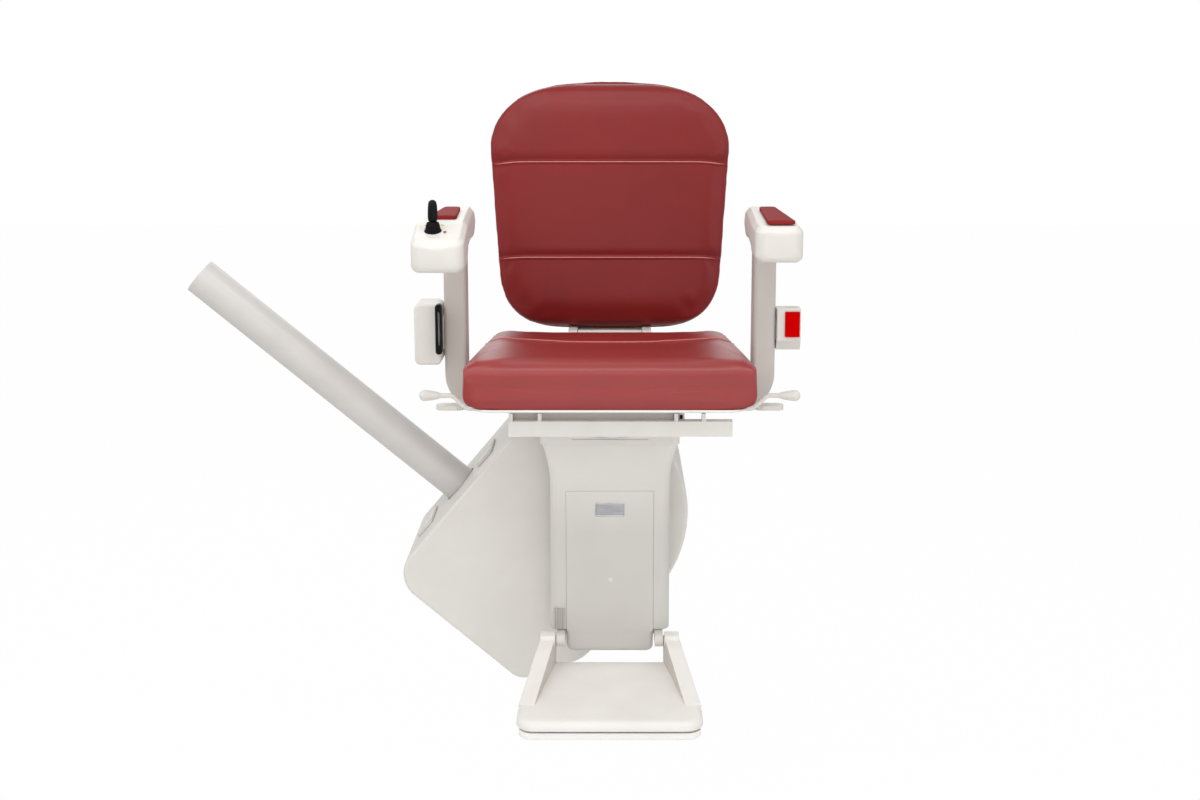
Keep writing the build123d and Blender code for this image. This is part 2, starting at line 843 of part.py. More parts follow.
def make_column():
    with BuildPart() as column_frame:
        with BuildSketch(level(foot_hinge_height + foot_boss_radius)):
            with Locations((0, (frame_front + frame_back) / 2)):
                Rectangle(2 * frame_half_width, frame_back - frame_front)
                inner = 2 * (frame_half_width - frame_wall)
                Rectangle(inner, frame_back - frame_front - 2 * frame_wall, mode=Mode.SUBTRACT)
        extrude(amount=cover_top - 8 - foot_hinge_height - foot_boss_radius)
        with BuildSketch(level(cover_top - 8)):
            with Locations((0, (frame_front + frame_back) / 2)):
                Rectangle(170, frame_back - frame_front)
        extrude(amount=8)
        with BuildSketch(level(cover_top)):
            Circle(pillar_radius - 8)
        extrude(amount=cap_top - cover_top)
        with BuildSketch(level(cap_top - 2)):
            Circle(spigot_radius)
        extrude(amount=2 + swivel_plate_thickness + bearing_height + swivel_plate_thickness)
    write(column_frame, "column_frame")

    with BuildPart() as column_cover:
        with BuildSketch(facing_front(column_back)):
            column_outline(0, cover_bottom, cover_top)
        extrude(amount=column_back - column_front)
        face = column_cover.faces().sort_by(Axis.Y)[0]
        upright = [e for e in face.edges() if abs(e.center().X - chair_x) > 60]
        fillet(upright, column_corner)
        with BuildSketch(facing_front(column_back)):
            column_outline(cover_wall, cover_bottom - 1, cover_top + 1)
        extrude(amount=column_back - column_front - cover_wall, mode=Mode.SUBTRACT)
        with BuildSketch(facing_front(column_front + 2 * cover_wall)):
            with Locations((0, panel_top / 2)):
                Rectangle(2 * panel_half_width, panel_top)
        extrude(amount=3 * cover_wall, mode=Mode.SUBTRACT)
        # ledge that the panel is screwed to
        with BuildSketch(facing_front(column_front + panel_setback + cover_wall + 3)):
            with Locations((0, (panel_top + 6 + cover_bottom + 0.5) / 2)):
                Rectangle(2 * panel_half_width + 12, panel_top + 5.5 - cover_bottom)
            with Locations((0, (panel_top + cover_bottom) / 2 - 8)):
                Rectangle(2 * panel_half_width - 16, panel_top - cover_bottom,
                          mode=Mode.SUBTRACT)
        extrude(amount=2.9)
    write(column_cover, "column_cover")

    with BuildPart() as column_panel:
        half = panel_half_width - panel_gap
        with BuildSketch(facing_front(column_front + panel_setback + cover_wall)):
            with Locations((0, (panel_top - panel_gap + panel_bottom) / 2)):
                Rectangle(2 * half, panel_top - panel_gap - panel_bottom)
        extrude(amount=cover_wall)
        with BuildSketch(level(panel_bottom)):
            with Locations((0, column_front + panel_setback + skirt_depth / 2)):
                Rectangle(2 * half, skirt_depth)
            with Locations((0, column_front + panel_setback + cover_wall + skirt_depth / 2)):
                Rectangle(2 * (half - cover_wall), skirt_depth, mode=Mode.SUBTRACT)
        extrude(amount=cover_bottom - panel_gap - panel_bottom)
    write(column_panel, "column_panel")

    with BuildPart() as column_cap:
        with BuildSketch(level(cover_top + 0.3)):
            with Locations((0, (cap_front + column_back) / 2)):
                RectangleRounded(2 * cap_half_width, column_back - cap_front, 14)
            Circle(pillar_radius - 7.5, mode=Mode.SUBTRACT)
        extrude(amount=cap_top - 1 - cover_top - 0.3)
        with BuildSketch(facing_front(cap_front + 2)):
            with Locations((0, cap_top - 5.5)):
                SlotOverall(2 * cap_slot_half_width, cap_slot_height)
        extrude(amount=4, mode=Mode.SUBTRACT)
    write(column_cap, "column_cap")

    with BuildPart() as name_plate:
        with BuildSketch(facing_front(column_front + panel_setback)):
            with Locations((0, plate_place)):
                RectangleRounded(plate_width, plate_height, 1.2)
        extrude(amount=plate_thickness)
        fillet(name_plate.faces().sort_by(Axis.Y)[0].edges(), 0.5)
    write(name_plate, "name_plate")

    # the ribbed gaiter beside the panel and the cap over the panel's screw
    with BuildPart() as column_trim:
        rib = gaiter_width / gaiter_ribs
        middle = -panel_half_width - 2 - gaiter_width / 2
        with BuildSketch(facing_front(column_front)):
            with Locations((middle, (gaiter_low + gaiter_high) / 2)):
                Rectangle(gaiter_width, gaiter_high - gaiter_low)
        extrude(amount=1)
        with BuildSketch(facing_front(column_front - 1)):
            for number in range(gaiter_ribs):
                with Locations((middle - gaiter_width / 2 + (number + 0.5) * rib,
                                (gaiter_low + gaiter_high) / 2)):
                    Rectangle(rib * 0.55, gaiter_high - gaiter_low)
        extrude(amount=1.6)
        with BuildSketch(facing_front(column_front + panel_setback)):
            with Locations((service_cap_x, service_cap_height)):
                Circle(service_cap_radius)
        extrude(amount=1.2)
    write(column_trim, "column_trim")


# ---------------------------------------------------------------- footrest
def make_foot_bracket():
    with BuildPart() as footrest_bracket:
        with BuildSketch(level(foot_hinge_height - foot_boss_radius)):
            with Locations((0, bracket_bar_depth / 2)):
                Rectangle(2 * (lug_inner + lug_thickness), bracket_bar_depth)
            for way in (-1, 1):
                middle = way * (lug_inner + lug_thickness / 2)
                with Locations((middle, foot_hinge_depth / 2)):
                    Rectangle(lug_thickness, -foot_hinge_depth)
        extrude(amount=2 * foot_boss_radius)
        for way in (-1, 1):
            lug = lug_inner if way > 0 else -lug_inner - lug_thickness
            with BuildSketch(facing_side(lug)):
                with Locations((foot_hinge_depth, foot_hinge_height)):
                    Circle(foot_boss_radius)
            extrude(amount=lug_thickness)
            # the stud that the footrest turns on
            with BuildSketch(facing_side(way * (lug_inner + lug_thickness))):
                with Locations((foot_hinge_depth, foot_hinge_height)):
                    Circle(foot_pin_radius)
            extrude(amount=way * (arm_inner + arm_width - lug_inner - lug_thickness))
    write(footrest_bracket, "footrest_bracket")


def make_footrest():
    with BuildPart() as footrest_arms:
        with BuildSketch(level(footplate_top)):
            for name, way in sides:
                Polygon(
                    (way * arm_inner, foot_hinge_depth),
                    (way * (arm_inner + arm_width), foot_hinge_depth),
                    (way * (arm_inner + arm_width + foot_arm_spread), foot_arm_front + 8),
                    (way * (arm_inner + foot_arm_spread), foot_arm_front),
                    align=None,
                )
        extrude(amount=80)
        with BuildSketch(facing_side(-200)):
            with BuildLine():
                Polyline(
                    (foot_hinge_depth, foot_hinge_height + foot_boss_radius),
                    (foot_arm_front, foot_arm_low_top),
                    (foot_arm_front - 20, footplate_top),
                    (footplate_back, footplate_top),
                    (foot_hinge_depth + foot_boss_radius, foot_hinge_height),
                    (foot_hinge_depth, foot_hinge_height + foot_boss_radius),
                )
            make_face()
        extrude(amount=400, mode=Mode.INTERSECT)
        for name, way in sides:
            start = arm_inner if way > 0 else -(arm_inner + arm_width)
            with BuildSketch(facing_side(start)):
                with Locations((foot_hinge_depth, foot_hinge_height)):
                    Circle(foot_boss_radius)
            extrude(amount=arm_width)
        with BuildSketch(facing_side(-200)):
            with Locations((foot_hinge_depth, foot_hinge_height)):
                Circle(foot_pin_radius + running_gap)
        extrude(amount=400, mode=Mode.SUBTRACT)
    write(footrest_arms, "footrest_arms")

    with BuildPart() as footplate:
        with BuildSketch(level(footplate_seam)):
            footplate_outline(0)
        extrude(amount=footplate_top - footplate_seam)
        fillet(footplate.faces().sort_by(Axis.Z)[-1].edges().sort_by(Axis.Y)[0], 5)
        with BuildSketch(level(footplate_seam)):
            footplate_outline(5)
        extrude(amount=3, mode=Mode.SUBTRACT)
        with BuildSketch(level(footplate_seam + 3)):
            pan_screw_places(pan_screw_radius + 4)
        extrude(amount=-3)
    write(footplate, "footplate")

    with BuildPart() as safety_pan:
        with BuildSketch(level(0)):
            footplate_outline(pan_inset)
        extrude(amount=pan_top)
        fillet(safety_pan.faces().sort_by(Axis.Z)[0].edges(), 3)
        with BuildSketch(level(0)):
            pan_screw_places(pan_screw_radius + 0.3)
        extrude(amount=pan_top, mode=Mode.SUBTRACT)
        with BuildSketch(level(0)):
            pan_screw_places(pan_screw_head + 0.5)
        extrude(amount=6, mode=Mode.SUBTRACT)
    write(safety_pan, "safety_pan")

    with BuildPart() as pan_screws:
        with BuildSketch(level(2.7)):
            pan_screw_places(pan_screw_head)
        extrude(amount=3)
        with BuildSketch(level(5.7)):
            pan_screw_places(pan_screw_radius)
        extrude(amount=footplate_seam - 5.7)
    write(pan_screws, "pan_screws")


def footplate_outline(inset):
    corners = [
        (-footplate_back_half, footplate_back),
        (-footplate_front_half, footplate_front),
        (footplate_front_half, footplate_front),
        (footplate_back_half, footplate_back),
    ]
    with BuildLine() as outline:
        Polyline(*corners, close=True)
    face = make_face(outline.edges())
    fillet(face.vertices().group_by(Axis.Y)[0], footplate_corner)
    if inset:
        offset(amount=-inset, kind=Kind.INTERSECTION)


def pan_screw_places(radius):
    with Locations(
        (-pan_screw_x, pan_screw_front), (pan_screw_x, pan_screw_front),
        (-pan_screw_x, pan_screw_back), (pan_screw_x, pan_screw_back),
    ):
        Circle(radius)


# ---------------------------------------------------------------- swivel and seat frame
def make_swivel():
    disc_top = cap_top + swivel_plate_thickness
    plate_low = disc_top + bearing_height
    with BuildPart() as swivel_disc:
        with BuildSketch(level(cap_top)):
            Circle(swivel_disc_radius)
            Circle(spigot_radius, mode=Mode.SUBTRACT)
            # notches for both release levers, straight ahead and at each quarter turn
            tooth_x = lever_pivot_x - tooth_reach
            around = degrees(atan2(lever_y, tooth_x))
            for start in (around, 180 - around):
                for turn in (-90, 0, 90):
                    with PolarLocations(sqrt(tooth_x**2 + lever_y**2), 1, start_angle=start + turn):
                        Rectangle(22, 2 * tooth_radius + 2, mode=Mode.SUBTRACT)
        extrude(amount=swivel_plate_thickness)
    write(swivel_disc, "swivel_disc")

    with BuildPart() as swivel_bearing:
        with BuildSketch(level(disc_top)):
            Circle(bearing_radius)
            Circle(bearing_radius - 16, mode=Mode.SUBTRACT)
        extrude(amount=bearing_height - 0.3)
    write(swivel_bearing, "swivel_bearing")

    with BuildPart() as swivel_plate:
        with BuildSketch(level(plate_low)):
            Circle(swivel_plate_radius)
            Rectangle(2 * (seat_rail_x + seat_rail_width), swivel_plate_wings)
            Circle(spigot_radius + running_gap, mode=Mode.SUBTRACT)
            middle = lever_pivot_x - tooth_reach - 2
            with Locations((-middle, lever_y), (middle, lever_y)):
                Rectangle(20, 12, mode=Mode.SUBTRACT)
        extrude(amount=swivel_plate_thickness)
        # ears that hold the release levers' pivots
        for way in (-1, 1):
            for depth in (lever_y - 7, lever_y + 13):
                with BuildSketch(facing_front(depth)):
                    with Locations((way * lever_pivot_x, (plate_low + lever_height + 9) / 2)):
                        Rectangle(14, lever_height + 5 - plate_low)
                    with Locations((way * lever_pivot_x, lever_height)):
                        Circle(3.05, mode=Mode.SUBTRACT)
                extrude(amount=6)
    write(swivel_plate, "swivel_plate")

    low = plate_low + swivel_plate_thickness
    with BuildPart() as seat_rails:
        with BuildSketch(facing_front(seat_rail_back)):
            for name, way in sides:
                with Locations((way * (seat_rail_x + seat_rail_width / 2), low + seat_rail_height / 2)):
                    RectangleRounded(seat_rail_width, seat_rail_height, 3)
                    RectangleRounded(seat_rail_width - 2 * seat_rail_wall,
                                     seat_rail_height - 2 * seat_rail_wall, 1.5,
                                     mode=Mode.SUBTRACT)
        extrude(amount=seat_rail_back - seat_rail_front)
        with BuildSketch(facing_side(-200)):
            with Locations((paddle_y, paddle_height)):
                Circle(paddle_rod + running_gap)
            with Locations((lever_y, lever_height + 1)):
                Rectangle(12, 24)
        extrude(amount=400, mode=Mode.SUBTRACT)
    write(seat_rails, "seat_rails")


def make_beam():
    """The channel across the front of the seat frame, with ribs up to the seat's underside."""
    with BuildPart() as front_beam:
        with BuildSketch(facing_side(beam_left)):
            with BuildLine():
                Polyline(
                    (beam_back, beam_high), (beam_front, beam_high), (beam_front, beam_low),
                    (beam_back, beam_low), (beam_back, beam_low + beam_wall),
                    (beam_front + beam_wall, beam_low + beam_wall),
                    (beam_front + beam_wall, beam_high - beam_wall),
                    (beam_back, beam_high - beam_wall), close=True,
                )
            make_face()
        extrude(amount=beam_right - beam_left)
        for place in beam_ribs:
            with BuildSketch(level(beam_high)):
                with Locations((place, (beam_front + beam_back) / 2)):
                    Rectangle(beam_rib_width, beam_back - beam_front - 2)
            extrude(amount=shell_floor - 0.4 - beam_high)
    write(front_beam, "front_beam")


# ---------------------------------------------------------------- seat
def tray_outline(inset):
    corners = [
        (-shell_back_half, shell_back), (-shell_front_half, shell_front),
        (shell_front_half, shell_front), (shell_back_half, shell_back),
    ]
    with BuildLine() as outline:
        Polyline(*corners, close=True)
    face = make_face(outline.edges())
    fillet(face.vertices(), shell_corner)
    if inset:
        offset(amount=-inset, kind=Kind.INTERSECTION)


def make_seat():
    with BuildPart() as seat_shell:
        with BuildSketch(level(shell_floor)):
            tray_outline(0)
        extrude(amount=shell_rim - shell_floor)
        fillet(seat_shell.faces().sort_by(Axis.Z)[0].edges(), 5)
        with BuildSketch(level(shell_floor + shell_wall)):
            tray_outline(shell_wall)
        extrude(amount=shell_rim - shell_floor, mode=Mode.SUBTRACT)
        # the wall at the back rises to the hinge knuckle
        with BuildSketch(facing_side(-knuckle_half_width)):
            with Locations((seat_hinge_depth, seat_hinge_height)):
                Circle(seat_knuckle_radius)
            with Locations((seat_hinge_depth - seat_knuckle_radius + 2,
                            (shell_floor + 6 + seat_hinge_height) / 2)):
                Rectangle(4, seat_hinge_height - shell_floor - 6)
        extrude(amount=2 * knuckle_half_width)
        with BuildSketch(facing_side(-200)):
            with Locations((seat_hinge_depth, seat_hinge_height)):
                Circle(seat_pin_radius + running_gap)
        extrude(amount=400, mode=Mode.SUBTRACT)
    write(seat_shell, "seat_shell")


def pad_section(half_width, low, high, crown, draw):
    """A pad cut across: flat below, sides drawn in at both edges, a crown on top."""
    middle = (low + high) / 2
    inner = half_width - draw
    with BuildLine() as outline:
        Line((-inner, low), (inner, low))
        ThreePointArc((inner, low), (half_width, middle), (inner, high))
        ThreePointArc((inner, high), (0, high + crown), (-inner, high))
        ThreePointArc((-inner, high), (-half_width, middle), (-inner, low))
    make_face(outline.edges())


def rounded_end(distance, radius):
    """How far a rounded end stands back from its full size, this distance in from its tip."""
    if distance >= radius:
        return 0.0
    return radius - sqrt(radius**2 - (radius - distance) ** 2)


def make_seat_cushion():
    low = shell_floor + shell_wall + cushion_gap
    front = shell_front + shell_wall
    fall = (cushion_front_top - cushion_back_top) / (cushion_back - front)
    narrow = (cushion_half_width - cushion_back_half) / (cushion_back - front)
    steps = (0, 3, 8, 16, 28, 44)
    length = cushion_back - front
    places = list(steps) + [length / 2] + [length - step for step in reversed(steps)]
    with BuildPart() as seat_cushion:
        for place in places:
            end = min(place, length - place)
            half = cushion_half_width - place * narrow - rounded_end(end, cushion_corner)
            top = cushion_front_top - place * fall - rounded_end(end, cushion_roll)
            lift = shell_rim + cushion_gap + rounded_end(end, cushion_tuck)
            with BuildSketch(facing_front(front + place)):
                pad_section(half, lift, top, cushion_crown, 8)
        loft(ruled=True)
        # the base board fills the shell
        with BuildSketch(level(low)):
            tray_outline(shell_wall + 2 * cushion_gap)
        extrude(amount=shell_rim + cushion_gap + 2 - low)
        # the sewn channel across the back of the seat
        top = cushion_front_top - (seat_seam_place - front) * fall
        with BuildSketch(facing_front(seat_seam_place)):
            groove_section(cushion_half_width, top - seam_depth, cushion_crown)
        extrude(amount=seam_width, mode=Mode.SUBTRACT)
    write(seat_cushion, "seat_cushion")


def groove_section(half_width, height, crown):
    """What a seam takes out of a pad's crowned face."""
    with BuildLine() as outline:
        ThreePointArc((-half_width, height - 1), (0, height + crown), (half_width, height - 1))
        Polyline((half_width, height - 1), (half_width, height + 30), (-half_width, height + 30),
                 (-half_width, height - 1))
    make_face(outline.edges())


# ---------------------------------------------------------------- backrest
def back_plane(along):
    """A plane square to the backrest, a distance up along it; its sketch has width and depth."""
    lean = radians(back_lean)
    origin = (chair_x, chair_y + back_depth + along * sin(lean),
              chair_z + back_low + along * cos(lean))
    return Plane(origin, x_dir=(1, 0, 0), z_dir=(0, sin(lean), cos(lean)))


def back_half_width(along):
    """The backrest's outline: broad and well rounded at the top, narrower at the bottom."""
    across = back_low_half + (back_high_half - back_low_half) * along / back_height
    up = back_height - along
    if up < back_top_corner:
        share = 1 - up / back_top_corner
        across -= back_top_draw * (1 - sqrt(1 - share**2))
    if along < back_low_corner:
        share = 1 - along / back_low_corner
        across -= back_low_draw * (1 - sqrt(1 - share**2))
    return across


def make_backrest():
    steps = (0, 3, 8, 16, 28, 44, 62, 90)
    places = list(steps) + [150, 220, 290] + [back_height - step for step in reversed(steps)]
    with BuildPart() as back_cushion:
        for along in places:
            end = min(along, back_height - along)
            thick = back_thickness - 1.2 * rounded_end(end, back_roll)
            crown = back_crown * min(1.0, 0.2 + end / 60)
            with BuildSketch(back_plane(along)):
                back_section(back_half_width(along), thick, crown)
        loft(ruled=True)
        for along in back_seams:
            with BuildSketch(back_plane(along)):
                back_groove()
            extrude(amount=seam_width, mode=Mode.SUBTRACT)
    write(back_cushion, "back_cushion")

    with BuildPart() as back_shell:
        for along in places[2:-2]:
            half = back_half_width(along) - back_shell_inset
            shallow = rounded_end(min(along - 8, back_height - 8 - along), 9)
            with BuildSketch(back_plane(along)):
                back_shell_section(half, back_shell_thickness - shallow)
        loft(ruled=True)
    write(back_shell, "back_shell")


def back_shell_section(half_width, thick):
    """The hard shell behind the backrest, its long edges turned in."""
    with BuildLine() as outline:
        Line((half_width, 0.3), (-half_width, 0.3))
        ThreePointArc((-half_width, 0.3), (-half_width + 2, thick * 0.7), (-half_width + 10, thick))
        Line((-half_width + 10, thick), (half_width - 10, thick))
        ThreePointArc((half_width - 10, thick), (half_width - 2, thick * 0.7), (half_width, 0.3))
    make_face(outline.edges())


def back_section(half_width, thick, crown):
    """The backrest cut across: flat at the back, drawn-in sides, a crown towards the sitter."""
    draw = min(9.0, half_width / 12)
    inner = half_width - draw
    with BuildLine() as outline:
        Line((inner, 0), (-inner, 0))
        ThreePointArc((-inner, 0), (-half_width, -thick / 2), (-inner, -thick))
        ThreePointArc((-inner, -thick), (0, -thick - crown), (inner, -thick))
        ThreePointArc((inner, -thick), (half_width, -thick / 2), (inner, 0))
    make_face(outline.edges())


def back_groove():
    half = 240.0
    deep = -back_thickness + seam_depth - 1
    crown = back_crown + 1
    with BuildLine() as outline:
        ThreePointArc((-half, deep + 3), (0, deep - crown), (half, deep + 3))
        Polyline((half, deep + 3), (half, deep - 40), (-half, deep - 40), (-half, deep + 3))
    make_face(outline.edges())


def make_back_bracket():
    """A bent plate that rises from the seat frame, passes under the backrest and carries it."""
    lean = radians(back_lean)
    plate_front = seat_rail_back
    behind = back_depth + (back_shell_thickness + 0.3) / cos(lean)
    foot = (behind + 4 * tan(lean), back_low + 4)
    head = (behind + bracket_reach * tan(lean), back_low + bracket_reach)
    path = [(plate_front, bracket_low), (plate_front, bracket_bend), foot, head]
    with BuildPart() as back_bracket:
        with BuildSketch(facing_side(-bracket_half_width)):
            with BuildLine():
                Polyline(*path)
                Polyline(path[0], (plate_front + bracket_thickness, bracket_low),
                         (plate_front + bracket_thickness, bracket_bend - 3),
                         (foot[0] + bracket_thickness, foot[1] - 3),
                         (head[0] + bracket_thickness, head[1]), head)
            make_face()
        extrude(amount=2 * bracket_half_width)
        with BuildSketch(facing_front(plate_front + bracket_thickness)):
            with BuildLine():
                Polyline((-seat_rail_x - seat_rail_width, 446), (seat_rail_x + seat_rail_width, 446),
                         (seat_rail_x + seat_rail_width, 480), (bracket_half_width, 505),
                         (-bracket_half_width, 505), (-seat_rail_x - seat_rail_width, 480),
                         close=True)
            make_face()
        extrude(amount=bracket_thickness)
        for start in (-bracket_half_width, knuckle_half_width + 1):
            with BuildSketch(facing_side(start)):
                with Locations((seat_hinge_depth, seat_hinge_height)):
                    Circle(seat_knuckle_radius)
                with BuildLine():
                    Polyline((seat_hinge_depth, seat_hinge_height - seat_knuckle_radius),
                             (seat_hinge_depth, seat_hinge_height + seat_knuckle_radius),
                             (foot[0] - 20, seat_hinge_height + seat_knuckle_radius),
                             (plate_front, bracket_bend), (plate_front, bracket_bend - 11), close=True)
                make_face()
            extrude(amount=bracket_half_width - knuckle_half_width - 1)
        with BuildSketch(facing_side(-200)):
            with Locations((seat_hinge_depth, seat_hinge_height)):
                Circle(seat_pin_radius + 0.02)
        extrude(amount=400, mode=Mode.SUBTRACT)
    write(back_bracket, "back_bracket")


# ---------------------------------------------------------------- arms
def make_post(name, way):
    """A hollow strap that comes out from under the seat, bends up and ends in a tongue."""
    foot_x = seat_rail_x + seat_rail_width
    bend_share = 1 - sqrt(0.5)
    with BuildPart() as arm_post:
        with BuildLine(facing_front(post_y)) as path:
            Line((way * post_x, post_top - 8), (way * post_x, post_foot_height + post_bend))
            ThreePointArc(
                (way * post_x, post_foot_height + post_bend),
                (way * (post_x - post_bend * bend_share), post_foot_height + post_bend * bend_share),
                (way * (post_x - post_bend), post_foot_height),
            )
            Line((way * (post_x - post_bend), post_foot_height), (way * foot_x, post_foot_height))
        with BuildSketch(level(post_top - 8)):
            with Locations((way * post_x, post_y)):
                RectangleRounded(post_width, post_depth, post_corner)
                RectangleRounded(post_width - 2 * post_wall, post_depth - 2 * post_wall,
                                 post_corner - post_wall, mode=Mode.SUBTRACT)
        sweep(path=path.wire())
        with BuildSketch(level(post_top - 8)):
            with Locations((way * post_x, post_y)):
                RectangleRounded(post_width, post_depth, post_corner)
        extrude(amount=8)
        with BuildSketch(facing_side(way * post_x - tongue_thickness / 2)):
            with Locations((post_y, arm_hinge_height)):
                Circle(tongue_radius)
            with Locations((post_y, (post_top + arm_hinge_height) / 2)):
                Rectangle(2 * tongue_radius, arm_hinge_height - post_top)
        extrude(amount=tongue_thickness)
        with BuildSketch(facing_side(-400)):
            with Locations((post_y, arm_hinge_height)):
                Circle(arm_pin_radius + running_gap)
        extrude(amount=800, mode=Mode.SUBTRACT)
    write(arm_post, f"arm_post_{name}")


def make_arm(name, way, inner, outer, low, nose):
    """The armrest body: a fork round the post's tongue at the back, a deep rounded nose in front."""
    with BuildPart() as arm_body:
        with BuildSketch(level(low - 10)):
            with BuildLine():
                Polyline(
                    (way * arm_rear_inner, post_y + arm_end_radius),
                    (way * arm_rear_inner, post_y - arm_end_radius),
                    (way * inner, arm_front + 70), (way * inner, arm_front),
                    (way * outer, arm_front), (way * outer, arm_front + 70),
                    (way * arm_rear_outer, post_y - arm_end_radius),
                    (way * arm_rear_outer, post_y + arm_end_radius), close=True,
                )
            face = make_face()
            fillet(face.vertices().group_by(Axis.Y)[0], 16)
        extrude(amount=100)
        with BuildSketch(facing_side(-400)):
            with BuildLine():
                Polyline(
                    (post_y, arm_hinge_height + arm_end_radius),
                    (post_y, arm_top), (arm_front + 75, arm_top), (arm_front, nose),
                    (arm_front, low + 12), (arm_front + 12, low), (arm_front + 62, low),
                    (arm_front + 100, arm_under), (post_y - 12, arm_under),
                    (post_y, arm_hinge_height - arm_end_radius),
                )
                ThreePointArc(
                    (post_y, arm_hinge_height - arm_end_radius),
                    (post_y + arm_end_radius, arm_hinge_height),
                    (post_y, arm_hinge_height + arm_end_radius),
                )
            make_face()
        extrude(amount=800, mode=Mode.INTERSECT)
        with BuildSketch(facing_side(way * post_x - tongue_thickness / 2 - tongue_gap)):
            with Locations((post_y + 9.5, arm_hinge_height - 12)):
                Rectangle(3 * tongue_radius + 1, 3 * tongue_radius + 6)
        extrude(amount=tongue_thickness + 2 * tongue_gap, mode=Mode.SUBTRACT)
        with BuildSketch(facing_side(way * post_x - tongue_thickness)):
            with Locations((post_y, arm_hinge_height)):
                Circle(arm_pin_radius + 0.02)
        extrude(amount=2 * tongue_thickness, mode=Mode.SUBTRACT)
        if way < 0:
            with Locations((chair_x + stick_x, chair_y + stick_y, chair_z + stick_pivot)):
                Sphere(stick_ball + stick_gap, mode=Mode.SUBTRACT)
            with BuildSketch(facing_front(stick_y + stick_ball + stick_pin_reach + stick_gap)):
                with Locations((stick_x, stick_pivot)):
                    Circle(stick_pin_radius + running_gap)
            extrude(amount=stick_ball + stick_pin_reach + stick_gap, mode=Mode.SUBTRACT)
    write(arm_body, f"arm_body_{name}")


def make_pins():
    """The steel pins that the arms, the seat and the release levers turn on."""
    with BuildPart() as hinge_pins:
        for name, way in sides:
            with BuildSketch(facing_side(way * post_x - tongue_thickness)):
                with Locations((post_y, arm_hinge_height)):
                    Circle(arm_pin_radius)
            extrude(amount=2 * tongue_thickness)
            with BuildSketch(facing_front(lever_y + 13)):
                with Locations((way * lever_pivot_x, lever_height)):
                    Circle(3)
            extrude(amount=26)
        with BuildSketch(facing_side(-bracket_half_width)):
            with Locations((seat_hinge_depth, seat_hinge_height)):
                Circle(seat_pin_radius)
        extrude(amount=2 * bracket_half_width)
    write(hinge_pins, "hinge_pins")


def make_arm_pad(name, way, front, front_inner, front_outer):
    with BuildPart() as arm_pad:
        with BuildSketch(level(arm_top)):
            with BuildLine():
                Polyline((way * arm_pad_back_inner, arm_pad_back),
                         (way * arm_pad_back_outer, arm_pad_back), (way * front_outer, front),
                         (way * front_inner, front), close=True)
            face = make_face()
            fillet(face.vertices(), 7)
        extrude(amount=arm_pad_height)
        fillet(arm_pad.faces().sort_by(Axis.Z)[-1].edges(), 3)
    write(arm_pad, f"arm_pad_{name}")


def make_joystick():
    x, y, z = chair_x + stick_x, chair_y + stick_y, chair_z + stick_pivot
    height = stick_top - stick_pivot
    leave = sqrt(stick_ball**2 - (stick_radius + 1) ** 2)
    with BuildPart() as joystick:
        with BuildSketch(Plane((x, y, z), x_dir=(1, 0, 0), z_dir=(0, -1, 0))):
            with BuildLine():
                Line((0, -stick_ball), (0, height))
                ThreePointArc((0, height), (stick_radius * 0.7, height - stick_radius * 0.3),
                              (stick_radius, height - stick_radius))
                Line((stick_radius, height - stick_radius), (stick_radius - 1, leave + 8))
                Line((stick_radius - 1, leave + 8), (stick_radius + 1, leave))
                ThreePointArc((stick_radius + 1, leave), (stick_ball, 0), (0, -stick_ball))
            make_face()
        revolve(axis=Axis((x, y, z), (0, 0, 1)))
        # the pin that the stick rocks on, let into the armrest behind the ball
        with BuildSketch(facing_front(stick_y + stick_ball + stick_pin_reach)):
            with Locations((stick_x, stick_pivot)):
                Circle(stick_pin_radius)
        extrude(amount=stick_ball + stick_pin_reach)
    write(joystick, "joystick")

    with BuildPart() as status_lamp:
        slope = (arm_top - left_arm_nose) / 75
        lamp_y = stick_y - 6
        with BuildSketch(level(left_arm_nose + slope * (lamp_y - arm_front) + 0.8)):
            with Locations((-254.4, lamp_y)):
                Circle(2.4)
        extrude(amount=1.4)
    write(status_lamp, "status_lamp")


